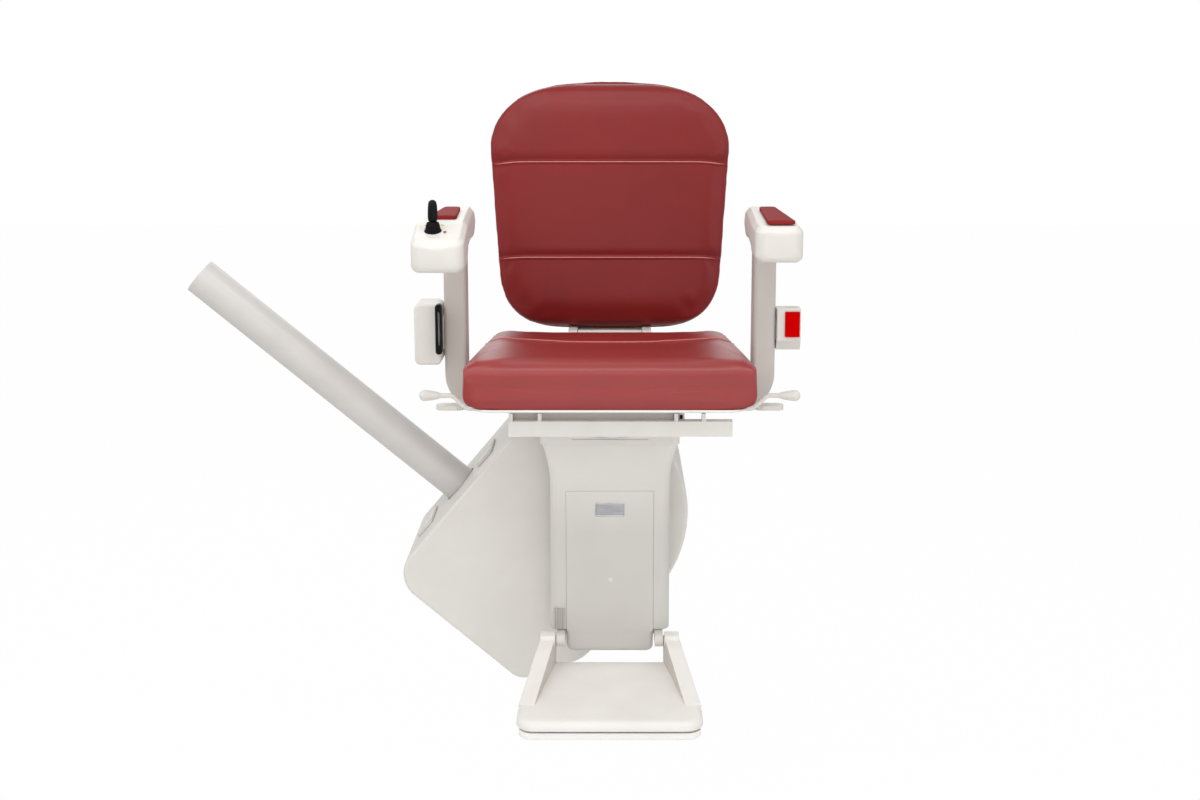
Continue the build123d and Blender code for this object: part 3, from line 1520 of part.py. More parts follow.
# ---------------------------------------------------------------- belt
def make_reel():
    middle_x = -(reel_inner + reel_outer) / 2
    middle_z = (reel_low + reel_high) / 2
    with BuildPart() as reel_housing:
        with BuildSketch(facing_front(reel_back)):
            with Locations((middle_x, middle_z)):
                RectangleRounded(reel_outer - reel_inner, reel_high - reel_low, 10)
        extrude(amount=reel_back - reel_front)
        fillet(reel_housing.faces().sort_by(Axis.Y)[0].edges(), 4)
        with BuildSketch(facing_front(reel_back - reel_wall)):
            with Locations((middle_x, middle_z)):
                RectangleRounded(reel_outer - reel_inner - 2 * reel_wall,
                                 reel_high - reel_low - 2 * reel_wall, 7)
        extrude(amount=reel_back - reel_front - 2 * reel_wall, mode=Mode.SUBTRACT)
    write(reel_housing, "belt_reel_housing")

    with BuildPart() as belt_spool:
        with BuildSketch(facing_front(reel_back - reel_wall)):
            with Locations((middle_x, middle_z + 10)):
                Circle(4)
        extrude(amount=reel_back - reel_front - 2 * reel_wall)
        with BuildSketch(facing_front(reel_back - reel_wall - 6)):
            with Locations((middle_x, middle_z + 10)):
                Circle(spool_radius)
        extrude(amount=reel_back - reel_front - 2 * reel_wall - 12)
    write(belt_spool, "belt_spool")

    with BuildPart() as belt_brackets:
        with BuildSketch(facing_side(-reel_inner)):
            with Locations((post_y - 4, middle_z)):
                RectangleRounded(34, 60, 4)
        extrude(amount=reel_inner - post_x - post_width / 2)
        with BuildSketch(facing_side(post_x + post_width / 2)):
            with Locations((post_y - 6, (buckle_low + buckle_high) / 2)):
                RectangleRounded(20, 40, 3)
        extrude(amount=buckle_inner - post_x - post_width / 2)
    write(belt_brackets, "belt_brackets")

    with BuildPart() as belt_tongue:
        with BuildSketch(facing_front(reel_front)):
            with Locations((-289, 590)):
                SlotOverall(86, 11, rotation=90)
                SlotOverall(60, 4.4, rotation=90, mode=Mode.SUBTRACT)
        extrude(amount=14)
        fillet(belt_tongue.faces().sort_by(Axis.Y)[0].edges(), 1)
    write(belt_tongue, "belt_tongue")


def make_buckle():
    with BuildPart() as buckle_housing:
        with BuildSketch(facing_side(buckle_inner)):
            with BuildLine():
                Polyline((buckle_front, buckle_high), (buckle_front, button_low - 6),
                         (buckle_front + 12, buckle_low), (buckle_back, buckle_low),
                         (buckle_back, buckle_high), close=True)
            make_face()
        extrude(amount=buckle_outer - buckle_inner)
        upright = buckle_housing.edges().filter_by(Axis.Z)
        fillet(upright, 2.5)
        with BuildSketch(facing_front(buckle_front + 12)):
            with Locations(((button_inner + button_outer) / 2, (button_low + button_high) / 2)):
                Rectangle(button_outer - button_inner, button_high - button_low)
        extrude(amount=14, mode=Mode.SUBTRACT)
        with BuildSketch(level(buckle_high - 30)):
            with Locations(((button_inner + button_outer) / 2, buckle_back - 12)):
                Rectangle(21, 6)
        extrude(amount=40, mode=Mode.SUBTRACT)
    write(buckle_housing, "buckle_housing")

    with BuildPart() as buckle_button:
        gap = 0.25
        with BuildSketch(facing_front(buckle_front + 12 - button_travel - 0.4)):
            with Locations(((button_inner + button_outer) / 2, (button_low + button_high) / 2)):
                Rectangle(button_outer - button_inner - 2 * gap, button_high - button_low - 2 * gap)
        extrude(amount=12 - button_travel - 0.4 + 3.5)
        fillet(buckle_button.faces().sort_by(Axis.Y)[0].edges(), 1)
    write(buckle_button, "buckle_button")


# ---------------------------------------------------------------- levers under the seat
def make_levers():
    for name, way in sides:
        with BuildPart() as swivel_lever:
            with BuildLine(facing_front(lever_y)) as path:
                FilletPolyline(
                    (way * (lever_pivot_x - tooth_reach), lever_height),
                    (way * 238, lever_height), (way * 262, lever_tip_height),
                    (way * knob_inner, lever_tip_height), radius=12,
                )
            start = Plane(
                (chair_x + way * (lever_pivot_x - tooth_reach), chair_y + lever_y, chair_z + lever_height),
                x_dir=(0, 1, 0), z_dir=(way, 0, 0),
            )
            with BuildSketch(start):
                Circle(lever_rod)
            sweep(path=path.wire())
            # eye round the pivot
            with BuildSketch(facing_front(lever_y + 6)):
                with Locations((way * lever_pivot_x, lever_height)):
                    Circle(7)
            extrude(amount=12)
            # tooth that locks in the disc's notch, drawn just lifted clear of it
            with BuildSketch(level(cap_top + swivel_plate_thickness + tooth_gap)):
                with Locations((way * (lever_pivot_x - tooth_reach), lever_y)):
                    Circle(tooth_radius)
            extrude(amount=lever_height - cap_top - swivel_plate_thickness - tooth_gap)
            with BuildSketch(facing_front(lever_y + 30)):
                with Locations((way * lever_pivot_x, lever_height)):
                    Circle(3 + running_gap)
            extrude(amount=60, mode=Mode.SUBTRACT)
            # the knob on the rod's end
            x = chair_x + way * knob_inner
            knob_plane = Plane((x, chair_y + lever_y, chair_z + lever_tip_height),
                               x_dir=(way, 0, 0), z_dir=(0, -way, 0))
            length = knob_outer - knob_inner
            with BuildSketch(knob_plane):
                with BuildLine():
                    Line((0, 0), (length, 0))
                    ThreePointArc((length, 0), (length * 0.93, knob_radius * 0.72),
                                  (length * 0.68, knob_radius))
                    ThreePointArc((length * 0.68, knob_radius), (length * 0.3, knob_radius * 0.8),
                                  (0, knob_radius * 0.5))
                    Line((0, knob_radius * 0.5), (0, 0))
                make_face()
            revolve(axis=Axis((x, chair_y + lever_y, chair_z + lever_tip_height), (1, 0, 0)))
        write(swivel_lever, f"swivel_lever_{name}")

    with BuildPart() as paddle_shaft:
        with BuildSketch(facing_side(-paddle_inner - 8)):
            with Locations((paddle_y, paddle_height)):
                Circle(paddle_rod)
        extrude(amount=2 * (paddle_inner + 8))
    write(paddle_shaft, "paddle_shaft")

    with BuildPart() as paddles:
        with BuildSketch(level(paddle_height - 4)):
            for name, way in sides:
                with Locations((way * (paddle_inner + paddle_outer) / 2, paddle_y)):
                    SlotOverall(paddle_outer - paddle_inner, 2 * (paddle_half_width + 3))
        extrude(amount=8)
        with BuildSketch(facing_side(-paddle_inner - 8.4)):
            with Locations((paddle_y, paddle_height)):
                Circle(paddle_rod + 1.5)
        extrude(amount=8.4)
        with BuildSketch(facing_side(paddle_inner)):
            with Locations((paddle_y, paddle_height)):
                Circle(paddle_rod + 1.5)
        extrude(amount=8.4)
        with BuildSketch(facing_side(-paddle_inner - 8)):
            with Locations((paddle_y, paddle_height)):
                Circle(paddle_rod)
        extrude(amount=2 * (paddle_inner + 8), mode=Mode.SUBTRACT)
    write(paddles, "paddles")


make_rail()
make_rack()
make_casing()
make_chassis()
make_rollers()
make_drive()
make_batteries()
make_levelling()
make_column()
make_foot_bracket()
make_footrest()
make_swivel()
make_beam()
make_seat()
make_seat_cushion()
make_backrest()
make_back_bracket()
for side_name, side_way in sides:
    make_post(side_name, side_way)
make_arm("left", -1, left_arm_inner, left_arm_outer, left_arm_low, left_arm_nose)
make_arm("right", 1, right_arm_inner, right_arm_outer, right_arm_low, right_arm_nose)
make_arm_pad("left", -1, left_pad_front, left_pad_inner, left_pad_outer)
make_arm_pad("right", 1, right_pad_front, right_pad_inner, right_pad_outer)
make_joystick()
make_reel()
make_buckle()
make_levers()
make_pins()
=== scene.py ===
# %% [markdown]
# # A stairlift chair, dressed for its portrait
#
# The chair is drawn already as a packed assembly: a rail, a carriage that climbs it, a column, and
# a seat that swivels on top. This script loads that assembly and gives every surface the finish of
# the real thing: upholstered red pads, warm white mouldings, powder-coated steel and bright zinc.
#
# Everything stays in the assembly's own frame, in metres. Sizes are easier to think about in
# millimetres measured from the chair itself, so one small helper turns those into scene points.

import math

import bmesh
import bpy
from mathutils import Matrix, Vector, kdtree
from mathutils.bvhtree import BVHTree


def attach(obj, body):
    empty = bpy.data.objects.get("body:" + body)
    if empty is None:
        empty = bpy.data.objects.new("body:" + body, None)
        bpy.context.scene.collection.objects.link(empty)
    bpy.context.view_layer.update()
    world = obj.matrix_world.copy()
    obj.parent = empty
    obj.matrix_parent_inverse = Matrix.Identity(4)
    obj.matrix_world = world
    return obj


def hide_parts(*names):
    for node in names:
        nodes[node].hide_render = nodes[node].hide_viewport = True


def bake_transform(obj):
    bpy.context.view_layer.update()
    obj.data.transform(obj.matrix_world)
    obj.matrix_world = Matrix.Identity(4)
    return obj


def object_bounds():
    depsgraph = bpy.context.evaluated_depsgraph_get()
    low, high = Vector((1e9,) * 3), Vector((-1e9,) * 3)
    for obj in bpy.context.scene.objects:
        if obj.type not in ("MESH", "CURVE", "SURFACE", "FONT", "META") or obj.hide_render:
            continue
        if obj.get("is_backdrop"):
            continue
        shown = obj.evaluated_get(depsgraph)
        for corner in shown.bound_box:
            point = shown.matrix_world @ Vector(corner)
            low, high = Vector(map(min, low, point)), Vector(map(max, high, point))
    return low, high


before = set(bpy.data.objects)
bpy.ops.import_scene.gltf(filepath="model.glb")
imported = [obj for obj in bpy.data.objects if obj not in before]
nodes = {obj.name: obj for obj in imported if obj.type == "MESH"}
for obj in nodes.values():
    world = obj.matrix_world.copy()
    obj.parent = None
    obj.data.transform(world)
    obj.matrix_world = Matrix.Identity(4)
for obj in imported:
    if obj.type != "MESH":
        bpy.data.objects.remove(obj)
solid_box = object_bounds()

# the point on the floor below the swivel axis
CHAIR = Vector((0.736934, -0.190, -0.654962))


def at(x, y, z):
    """A point given in millimetres from the chair's own foot."""
    return CHAIR + Vector((x, y, z)) / 1000


print("solids loaded:", len(nodes), "box", [[round(v, 3) for v in corner] for corner in solid_box])

# %% [markdown]
# ## The camera
#
# The picture was taken from in front, a little above the armrests, looking down nine degrees with a
# lens of medium length. A camera can be pointed by eye or worked out from the places of a few known
# corners. Here it was worked out: footplate, seat and backrest corners give distance, height and
# tilt, and a small lens shift frames the chair without tilting the camera any further.

# %% Place the camera
# degrees below level
LOOK_DOWN = 9

eye = bpy.data.objects.new("camera", bpy.data.cameras.new("camera"))
eye.location = at(0, -2400, 1056)
eye.rotation_euler = (math.radians(90 - LOOK_DOWN), 0, 0)
eye.data.lens = 43.71
eye.data.shift_x = -0.00817
eye.data.shift_y = -0.09936
bpy.context.collection.objects.link(eye)
bpy.context.scene.camera = eye
print("camera at", [round(v, 3) for v in eye.location])

# %% [markdown]
# ## Finishes
#
# Nothing real has one flat colour. Each finish below is a small node tree: two close tones mixed by
# a soft noise, a second noise that varies the roughness, and a fine one that becomes bump. Patterns
# read the object's own coordinates, so they stay at real size and travel with the part.
#
# Colours are written as they look on screen, from 0 to 255, and turned into the linear values that
# the renderer counts in.


# %% Helpers for finishes
def paint(red, green, blue):
    """A colour as it looks on screen, turned into linear light."""
    def linear(value):
        share = value / 255
        return share / 12.92 if share <= 0.04045 else ((share + 0.055) / 1.055) ** 2.4
    return (linear(red), linear(green), linear(blue), 1)


def add(tree, kind, values=None, **settings):
    """One shader node. Each of its inputs gets a plain value, or a link from another node."""
    made = tree.nodes.new(kind)
    for name, value in settings.items():
        setattr(made, name, value)
    for name, value in (values or {}).items():
        if isinstance(value, bpy.types.NodeSocket):
            tree.links.new(value, made.inputs[name])
        else:
            made.inputs[name].default_value = value
    return made


def spread(tree, source, low, high):
    """A noise's middle range stretched to run from low to high."""
    return add(tree, "ShaderNodeMapRange", {0: source, 1: 0.3, 2: 0.7, 3: low, 4: high}).outputs[0]


def blank(name):
    """A new material, with its tree of nodes and its shader."""
    material = bpy.data.materials.new(name)
    material.use_nodes = True
    return material, material.node_tree, material.node_tree.nodes["Principled BSDF"]


def finish(name, light, dark, cloud, rough, grain, bump, metallic=0.0, **surface):
    """A finish of two close tones, with its grain in bump and its sheen in roughness."""
    material, tree, shader = blank(name)
    place = add(tree, "ShaderNodeTexCoord").outputs["Object"]

    tone = add(tree, "ShaderNodeTexNoise",
               {"Vector": place, "Scale": cloud, "Detail": 4.0, "Roughness": 0.55})
    tones = add(tree, "ShaderNodeMix", {0: spread(tree, tone.outputs["Fac"], 0.0, 1.0),
                                        6: paint(*dark), 7: paint(*light)}, data_type="RGBA")
    tree.links.new(tones.outputs[2], shader.inputs["Base Color"])

    fine = add(tree, "ShaderNodeTexNoise",
               {"Vector": place, "Scale": grain, "Detail": 3.0, "Roughness": 0.6})
    tree.links.new(spread(tree, fine.outputs["Fac"], *rough), shader.inputs["Roughness"])
    relief = add(tree, "ShaderNodeBump",
                 {"Height": fine.outputs["Fac"], "Strength": bump[0], "Distance": bump[1]})
    tree.links.new(relief.outputs["Normal"], shader.inputs["Normal"])
    shader.inputs["Metallic"].default_value = metallic
    for socket, value in surface.items():
        shader.inputs[socket.replace("_", " ")].default_value = value
    return material


# %% [markdown]
# The mouldings are injection-moulded plastic in a warm white with a fine spark-eroded grain. The
# rail and steelwork are powder-coated in nearly the same white, which dries with a soft orange-peel
# ripple. Two tones a shade apart keep large panels from looking like paper.

# %% Plastics, paint and metals
MOULDED = dict(cloud=9, rough=(0.36, 0.46), grain=900, bump=(0.06, 0.0003),
               Coat_Weight=0.1, Coat_Roughness=0.25)
POWDER = dict(cloud=14, rough=(0.38, 0.5), grain=420, bump=(0.10, 0.0004))

moulded = finish("moulded_ivory", (222, 219, 214), (216, 213, 207), **MOULDED)
coated = finish("powder_coat_ivory", (221, 218, 213), (214, 211, 206), **POWDER)
# the column's ivory, painted lighter than the other mouldings as painted light on its head, which
# sits in the seat's shade
column_with_painted_light = finish("moulded_ivory_column_painted_light", (232, 229, 224), (227, 223, 218), **MOULDED)
# the same powder coat painted lighter, as painted light on the parts under the seat and low on the
# footrest
coat_with_painted_light = finish("powder_coat_painted_light", (232, 229, 225), (226, 223, 218), **POWDER)
# the same powder coat painted lighter still, as painted light on the safety pan, the hinge blocks
# and their pins
coat_with_whiter_painted_light = finish("powder_coat_whiter_painted_light", (243, 241, 238), (238, 236, 232), **POWDER)
rail_coat = finish("powder_coat_rail", (207, 204, 201), (200, 197, 194), 12, (0.3, 0.4),
                   380, (0.08, 0.0004))
black_plastic = finish("black_plastic", (12, 12, 13), (7, 7, 8), 60, (0.34, 0.5),
                       1400, (0.15, 0.0003), Specular_IOR_Level=0.12)
black_rubber = finish("black_rubber", (11, 11, 12), (7, 7, 8), 80, (0.55, 0.72),
                      900, (0.25, 0.0004), Specular_IOR_Level=0.1)
# the posts' darker paint; the beam's flange below takes the same tone as painted shade
strap_paint_and_shade = finish("powder_coat_strap_and_shade", (196, 190, 184), (188, 182, 176), 12, (0.4, 0.52),
                     420, (0.10, 0.0004))
grey_plastic = finish("grey_plastic", (190, 186, 180), (180, 176, 170), 25, (0.4, 0.52),
                      1000, (0.1, 0.0003))
dark_steel = finish("dark_steel", (92, 92, 94), (78, 78, 80), 40, (0.35, 0.5),
                    600, (0.12, 0.0003), metallic=1.0)
steel = finish("ground_steel", (188, 188, 190), (170, 170, 172), 30, (0.22, 0.34),
               700, (0.08, 0.0002), metallic=1.0)
zinc = finish("bright_zinc", (196, 199, 203), (178, 180, 183), 70, (0.28, 0.42),
              300, (0.08, 0.0003), metallic=1.0)
red_plastic = finish("signal_red", (206, 2, 3), (196, 1, 2), 40, (0.3, 0.4),
                     900, (0.05, 0.0002), Specular_IOR_Level=0.1,
                     Specular_Tint=(0.5, 0.0, 0.0, 1))
battery_black = finish("battery_case", (48, 50, 54), (38, 40, 44), 30, (0.45, 0.6),
                       700, (0.15, 0.0003))
board_green = finish("board_green", (28, 92, 58), (20, 72, 46), 180, (0.3, 0.45),
                     900, (0.1, 0.0002))
nylon = finish("roller_nylon", (214, 210, 198), (204, 199, 186), 40, (0.4, 0.55),
               600, (0.1, 0.0003))


def painted_shade_towards_floor(material, low, high, dark):
    """Darken a finish towards the floor: painted shade, darker at the foot than at the head."""
    tree = material.node_tree
    shader = tree.nodes["Principled BSDF"]
    tone = shader.inputs["Base Color"].links[0].from_socket
    place = tree.nodes["Texture Coordinate"].outputs["Object"]
    split = add(tree, "ShaderNodeSeparateXYZ", {0: place})
    rise = add(tree, "ShaderNodeMapRange", {0: split.outputs["Z"], 1: at(0, 0, low).z,
                                            2: at(0, 0, high).z, 3: dark, 4: 1.0})
    mixed = add(tree, "ShaderNodeMix", {0: 1.0, 6: tone, 7: rise.outputs[0]},
                data_type="RGBA", blend_type="MULTIPLY")
    tree.links.new(mixed.outputs[2], shader.inputs["Base Color"])


# painted shade: the column's colour grows darker from its head down towards its foot
painted_shade_towards_floor(column_with_painted_light, low=250, high=400, dark=0.76)
print("finishes so far:", len(bpy.data.materials))

# %% [markdown]
# The upholstery is a contract vinyl: red, smooth at arm's length, with a fine leather print up
# close. A leather grain is made of small cells with soft creases between them. A Voronoi texture
# gives the cells, its distance-to-edge output gives the creases, and both go to bump only, so the
# colour stays even. A thin coat gives the broad soft highlight along the front roll.


# %% Red upholstery vinyl
# the print's cells to a metre
PEBBLES = 620


def upholstery(name, light, dark, shine=0.22, **surface):
    """Vinyl with a leather print: a fine grain, and creases between small pebbles."""
    material = finish(name, light, dark, 7, (0.42, 0.50), 2600, (0.05, 0.0002),
                      Specular_IOR_Level=shine, Coat_Roughness=0.33, **surface)
    tree = material.node_tree
    normal = tree.nodes["Principled BSDF"].inputs["Normal"]
    cells = add(tree, "ShaderNodeTexVoronoi",
                {"Vector": tree.nodes["Texture Coordinate"].outputs["Object"], "Scale": PEBBLES},
                feature="DISTANCE_TO_EDGE")
    crease = add(tree, "ShaderNodeMapRange",
                 {0: cells.outputs["Distance"], 1: 0.0, 2: 0.25, 3: 0.0, 4: 1.0})
    relief = add(tree, "ShaderNodeBump",
                 {"Height": crease.outputs[0], "Strength": 0.12, "Distance": 0.0003,
                  "Normal": normal.links[0].from_socket})
    tree.links.new(relief.outputs["Normal"], normal)
    return material


vinyl = upholstery("red_vinyl", (126, 28, 28), (117, 24, 24), Coat_Weight=0.14)
# the seat's copy of the same vinyl, painted lighter as painted light on its upturned top and roll,
# with a stronger coat
seat_vinyl_painted_light = upholstery("red_vinyl_seat_painted_light", (146, 42, 41), (137, 37, 37), Coat_Weight=0.6)
# the arm pads lie flat under the lamps, so they keep hardly any sheen; their red is painted lighter
# than the backrest's, as painted light
pad_vinyl_painted_light = upholstery("red_vinyl_arms_painted_light", (136, 46, 46), (127, 41, 41), shine=0.01,
                       Specular_Tint=(0.5, 0.06, 0.06, 1))
cord_painted_highlight = finish("red_welt_painted_highlight", (206, 132, 130), (196, 118, 116), 200, (0.5, 0.65),
                1500, (0.2, 0.0003))
print("upholstery ready")

# %% [markdown]
# ## The assembly's own parts
#
# Most rigid parts already have the right shape, so they stay and only need edges and a finish. A
# drawn solid has edges with no radius at all, which never catch the light. On each part four
# modifiers put that right: the split corners are welded, the flat faces are cleaned of their
# triangles, a small bevel rounds every sharp edge, and weighted normals keep the flats flat.


# %% Give the drawn parts soft edges and a finish
def soften(obj, radius, segments=3, angle=32):
    """Welds, cleans and rounds the edges of one drawn part, without touching its mesh."""
    weld = obj.modifiers.new("weld", "WELD")
    weld.merge_threshold = 0.00002
    clean = obj.modifiers.new("clean", "DECIMATE")
    clean.decimate_type = "DISSOLVE"
    clean.angle_limit = math.radians(0.6)
    edge = obj.modifiers.new("edge", "BEVEL")
    edge.width = radius / 1000
    edge.segments = segments
    edge.limit_method = "ANGLE"
    edge.angle_limit = math.radians(angle)
    edge.use_clamp_overlap = True
    edge.harden_normals = False
    flat = obj.modifiers.new("normals", "WEIGHTED_NORMAL")
    flat.keep_sharp = True


def dress(name, material, radius):
    """Gives one drawn part its finish and edges rounded by so many mm."""
    obj = nodes[name]
    obj.data.materials.clear()
    obj.data.materials.append(material)
    obj.data.shade_smooth()
    if radius:
        soften(obj, radius)


FINISH_OF_PART = {
    rail_coat: {"rail_tube": 0.8, "rail_end_cap": 1.0},
    zinc: {"rail_rack": 0.3, "rail_stop": 0.8, "drive_pinion": 0.3, "levelling_pinion": 0.3,
           "pan_screws": 0.4, "swivel_disc": 0.8, "hinge_pins": 0.4, "belt_brackets": 0.8},
    coated: {"carriage_frame": 0.8, "column_frame": 0.8, "footrest_bracket": 1.2,
             "swivel_plate": 0.8, "seat_rails": 1.0, "back_bracket": 1.2},
    coat_with_whiter_painted_light: {"safety_pan": 2.0},
    coat_with_painted_light: {"footrest_arms": 2.5, "front_beam": 1.0, "footplate": 2.5, "column_cap": 3.0},
    column_with_painted_light: {"column_cover": 1.2, "column_panel": 3.0},
    strap_paint_and_shade: {"arm_post_left": 2.0, "arm_post_right": 2.0},
    moulded: {"casing_front": 4.0, "casing_rear": 4.0, "bumpers": 1.5, "back_shell": 2.0,
              "seat_shell": 1.5, "arm_body_left": 5.0, "arm_body_right": 5.0,
              "belt_reel_housing": 4.0, "buckle_housing": 3.0, "swivel_lever_left": 1.2,
              "swivel_lever_right": 1.2, "paddles": 2.0},
    steel: {"swivel_bearing": 0.5, "levelling_gear": 0.3, "paddle_shaft": 0.5, "belt_spool": 0.5,
            "name_plate": 0.4},
    dark_steel: {"drive_motor": 0.8, "drive_gearbox": 1.5, "levelling_motor": 0.8},
    battery_black: {"batteries": 1.0},
    board_green: {"control_board": 0.3},
    nylon: {"guide_roller_1": 0.5, "guide_roller_2": 0.5, "guide_roller_3": 0.5,
            "guide_roller_4": 0.5},
    grey_plastic: {"column_trim": 0.4},
    black_plastic: {"belt_tongue": 1.5, "joystick": 0.6},
    red_plastic: {"buckle_button": 2.0, "status_lamp": 0.4},
    vinyl: {"seat_cushion": 0, "back_cushion": 0, "arm_pad_left": 0, "arm_pad_right": 0},
}
for material, parts in FINISH_OF_PART.items():
    for name, radius in parts.items():
        dress(name, material, radius)
undressed = sorted(set(nodes) - {n for parts in FINISH_OF_PART.values() for n in parts})
print("parts with no finish yet:", undressed)

# %% [markdown]
# ## Building a surface from sections
#
# Pads and mouldings are drawn as a boat builder draws a hull: closed sections, one behind the
# other, with a skin stretched over them. Each ring has the same number of points, so the skin is
# all four-sided faces, which bend and shade cleanly. The ends are closed by rings that shrink
# towards the middle, not by one big face that would show as a flat spot.


# %% Helpers for new surfaces
def new_piece(name, points, faces, material):
    """A new mesh piece, welded, with its faces turned outwards."""
    mesh = bpy.data.meshes.new(name)
    mesh.from_pydata([tuple(p) for p in points], [], faces)
    work = bmesh.new()
    work.from_mesh(mesh)
    bmesh.ops.remove_doubles(work, verts=work.verts, dist=1e-6)
    bmesh.ops.recalc_face_normals(work, faces=work.faces)
    work.to_mesh(mesh)
    work.free()
    mesh.shade_smooth()
    mesh.materials.append(material)
    piece = bpy.data.objects.new(name, mesh)
    bpy.context.collection.objects.link(piece)
    return piece


# the size of each ring that closes an end, as a share of the full one
CLOSING = (0.92, 0.8, 0.62, 0.42, 0.2)


def skin(name, rings, material, close_first=0.0, close_last=0.0):
    """A skin over closed rings. Each end is closed by shrinking rings, domed by so many mm."""
    around = len(rings[0])
    closed = []
    for ring, dome, step in ((rings[0], close_first, rings[1]), (rings[-1], close_last, rings[-2])):
        middle = sum(ring, Vector()) / around
        inward = sum(step, Vector()) / around
        out = (middle - inward).normalized() if (middle - inward).length > 1e-9 else Vector()
        shrunk = []
        for share in CLOSING:
            lift = out * dome / 1000 * (1 - share ** 2)
            shrunk.append([middle + (p - middle) * share + lift for p in ring])
        closed.append((shrunk, middle + out * dome / 1000))
    full = list(reversed(closed[0][0])) + list(rings) + closed[1][0]
    points = [p for ring in full for p in ring]
    faces = []
    for row in range(len(full) - 1):
        for i in range(around):
            j = (i + 1) % around
            faces.append((row * around + i, row * around + j,
                          (row + 1) * around + j, (row + 1) * around + i))
    points += [closed[0][1], closed[1][1]]
    last = (len(full) - 1) * around
    for i in range(around):
        j = (i + 1) % around
        faces.append((j, i, len(points) - 2))
        faces.append((last + i, last + j, len(points) - 1))
    return new_piece(name, points, faces, material)


def pad_ring(half, low, high, square, count=128):
    """Points round a stuffed section: almost a rectangle, with every side a little full."""
    ring = []
    for i in range(count):
        angle = 2 * math.pi * (i + 0.5) / count
        c, s = math.cos(angle), math.sin(angle)
        bend = square[0] if s > 0 else square[1]
        x = half * math.copysign(abs(c) ** (2 / bend), c)
        z = (low + high) / 2 + (high - low) / 2 * math.copysign(abs(s) ** (2 / bend), s)
        ring.append((x, z))
    return ring


def rounded(corners, radii, steps=6):
    """A closed outline through the corners, each one rounded by its own radius."""
    ring = []
    for i, corner in enumerate(corners):
        corner = Vector(corner)
        before = Vector(corners[i - 1]) - corner
        after = Vector(corners[(i + 1) % len(corners)]) - corner
        room = 0.48 * min(before.length, after.length)
        half_angle = before.angle(after) / 2
        reach = min(radii[i] / math.tan(half_angle), room)
        radius = reach * math.tan(half_angle)
        into = (before.normalized() + after.normalized()).normalized()
        centre = corner + into * radius / math.sin(half_angle)
        first = corner + before.normalized() * reach - centre
        last = corner + after.normalized() * reach - centre
        for step in range(steps + 1):
            share = step / steps
            turned = first * (1 - share) + last * share
            ring.append(centre + turned.normalized() * radius)
    return ring


def lathe(name, profile, material, place, segments=56):
    """A turned piece: place(radius, height, angle) says where each point of the profile goes."""
    rings = []
    for radius, height in profile:
        rings.append([place(radius, height, 2 * math.pi * i / segments) for i in range(segments)])
    return skin(name, rings, material)


def standing_back(distance, radius):
    """How far a rounded end stands back from its full size, this distance in from its tip."""
    if distance >= radius:
        return 0.0
    return radius - math.sqrt(radius ** 2 - (radius - distance) ** 2)


# %% [markdown]
# ## Stuffing a cushion
#
# Foam under vinyl never keeps the exact shape it was cut to. It swells where nothing holds it and
# stays flat where it is stapled to its board. That can be sculpted by eye, but a short cloth
# simulation does it honestly: a copy of the pad is remeshed evenly, blown up gently for twenty
# frames with its underside held, and the distance each point moved is handed to the real pad. The
# pad keeps its own tidy rows of faces, so the seams can be pressed in afterwards, crisp and
# narrow.


# %% The stuffing helper
STUFFING_FRAMES, NEIGHBOURS = 20, 8


def swell(pad, held, cap, pressure=4.0, voxel=0.006):
    """How each point of a pad moves when it is stuffed. held(point) says which points stay put."""
    trial = pad.copy()
    trial.data = pad.data.copy()
    bpy.context.collection.objects.link(trial)
    bpy.context.view_layer.objects.active = trial
    trial.modifiers.clear()
    even = trial.modifiers.new("even", "REMESH")
    even.mode = "VOXEL"
    even.voxel_size = voxel
    with bpy.context.temp_override(object=trial, active_object=trial, selected_objects=[trial]):
        bpy.ops.object.modifier_apply(modifier="even")
    before = [v.co.copy() for v in trial.data.vertices]
    pinned = trial.vertex_groups.new(name="held")
    pinned.add([i for i, p in enumerate(before) if held(p)], 1.0, "REPLACE")
    cloth = trial.modifiers.new("cloth", "CLOTH")
    for setting, value in (("quality", 5), ("mass", 0.4), ("tension_stiffness", 25),
                           ("compression_stiffness", 25), ("bending_stiffness", 2.0),
                           ("use_pressure", True), ("uniform_pressure_force", pressure),
                           ("vertex_group_mass", "held")):
        setattr(cloth.settings, setting, value)
    cloth.settings.effector_weights.gravity = 0
    cloth.collision_settings.use_self_collision = False
    scene = bpy.context.scene
    for step in range(1, STUFFING_FRAMES + 1):
        scene.frame_set(step)
    ready = trial.evaluated_get(bpy.context.evaluated_depsgraph_get())
    after = [v.co.copy() for v in ready.data.vertices]
    scene.frame_set(1)
    tree = kdtree.KDTree(len(before))
    for i, point in enumerate(before):
        tree.insert(point, i)
    tree.balance()
    moves = []
    for vertex in pad.data.vertices:
        total, weight = Vector(), 0.0
        for _, i, distance in tree.find_n(vertex.co, NEIGHBOURS):
            share = math.exp(-(distance / voxel) ** 2)
            total += (after[i] - before[i]) * share
            weight += share
        move = total / weight if weight > 1e-9 else Vector()
        if move.length > cap / 1000:
            move = move.normalized() * cap / 1000
        moves.append(move)
    bpy.data.objects.remove(trial)
    print(pad.name, "swells by up to", round(max(m.length for m in moves) * 1000, 1), "mm")
    return moves


# %% [markdown]
# ## The seat cushion
#
# One piece of foam, wide and well rolled at the front, a little narrower and lower at the back. A
# sewn channel crosses it near the back and bows forwards in the middle. The sections run from
# front to back, close together where the channel is pressed in.

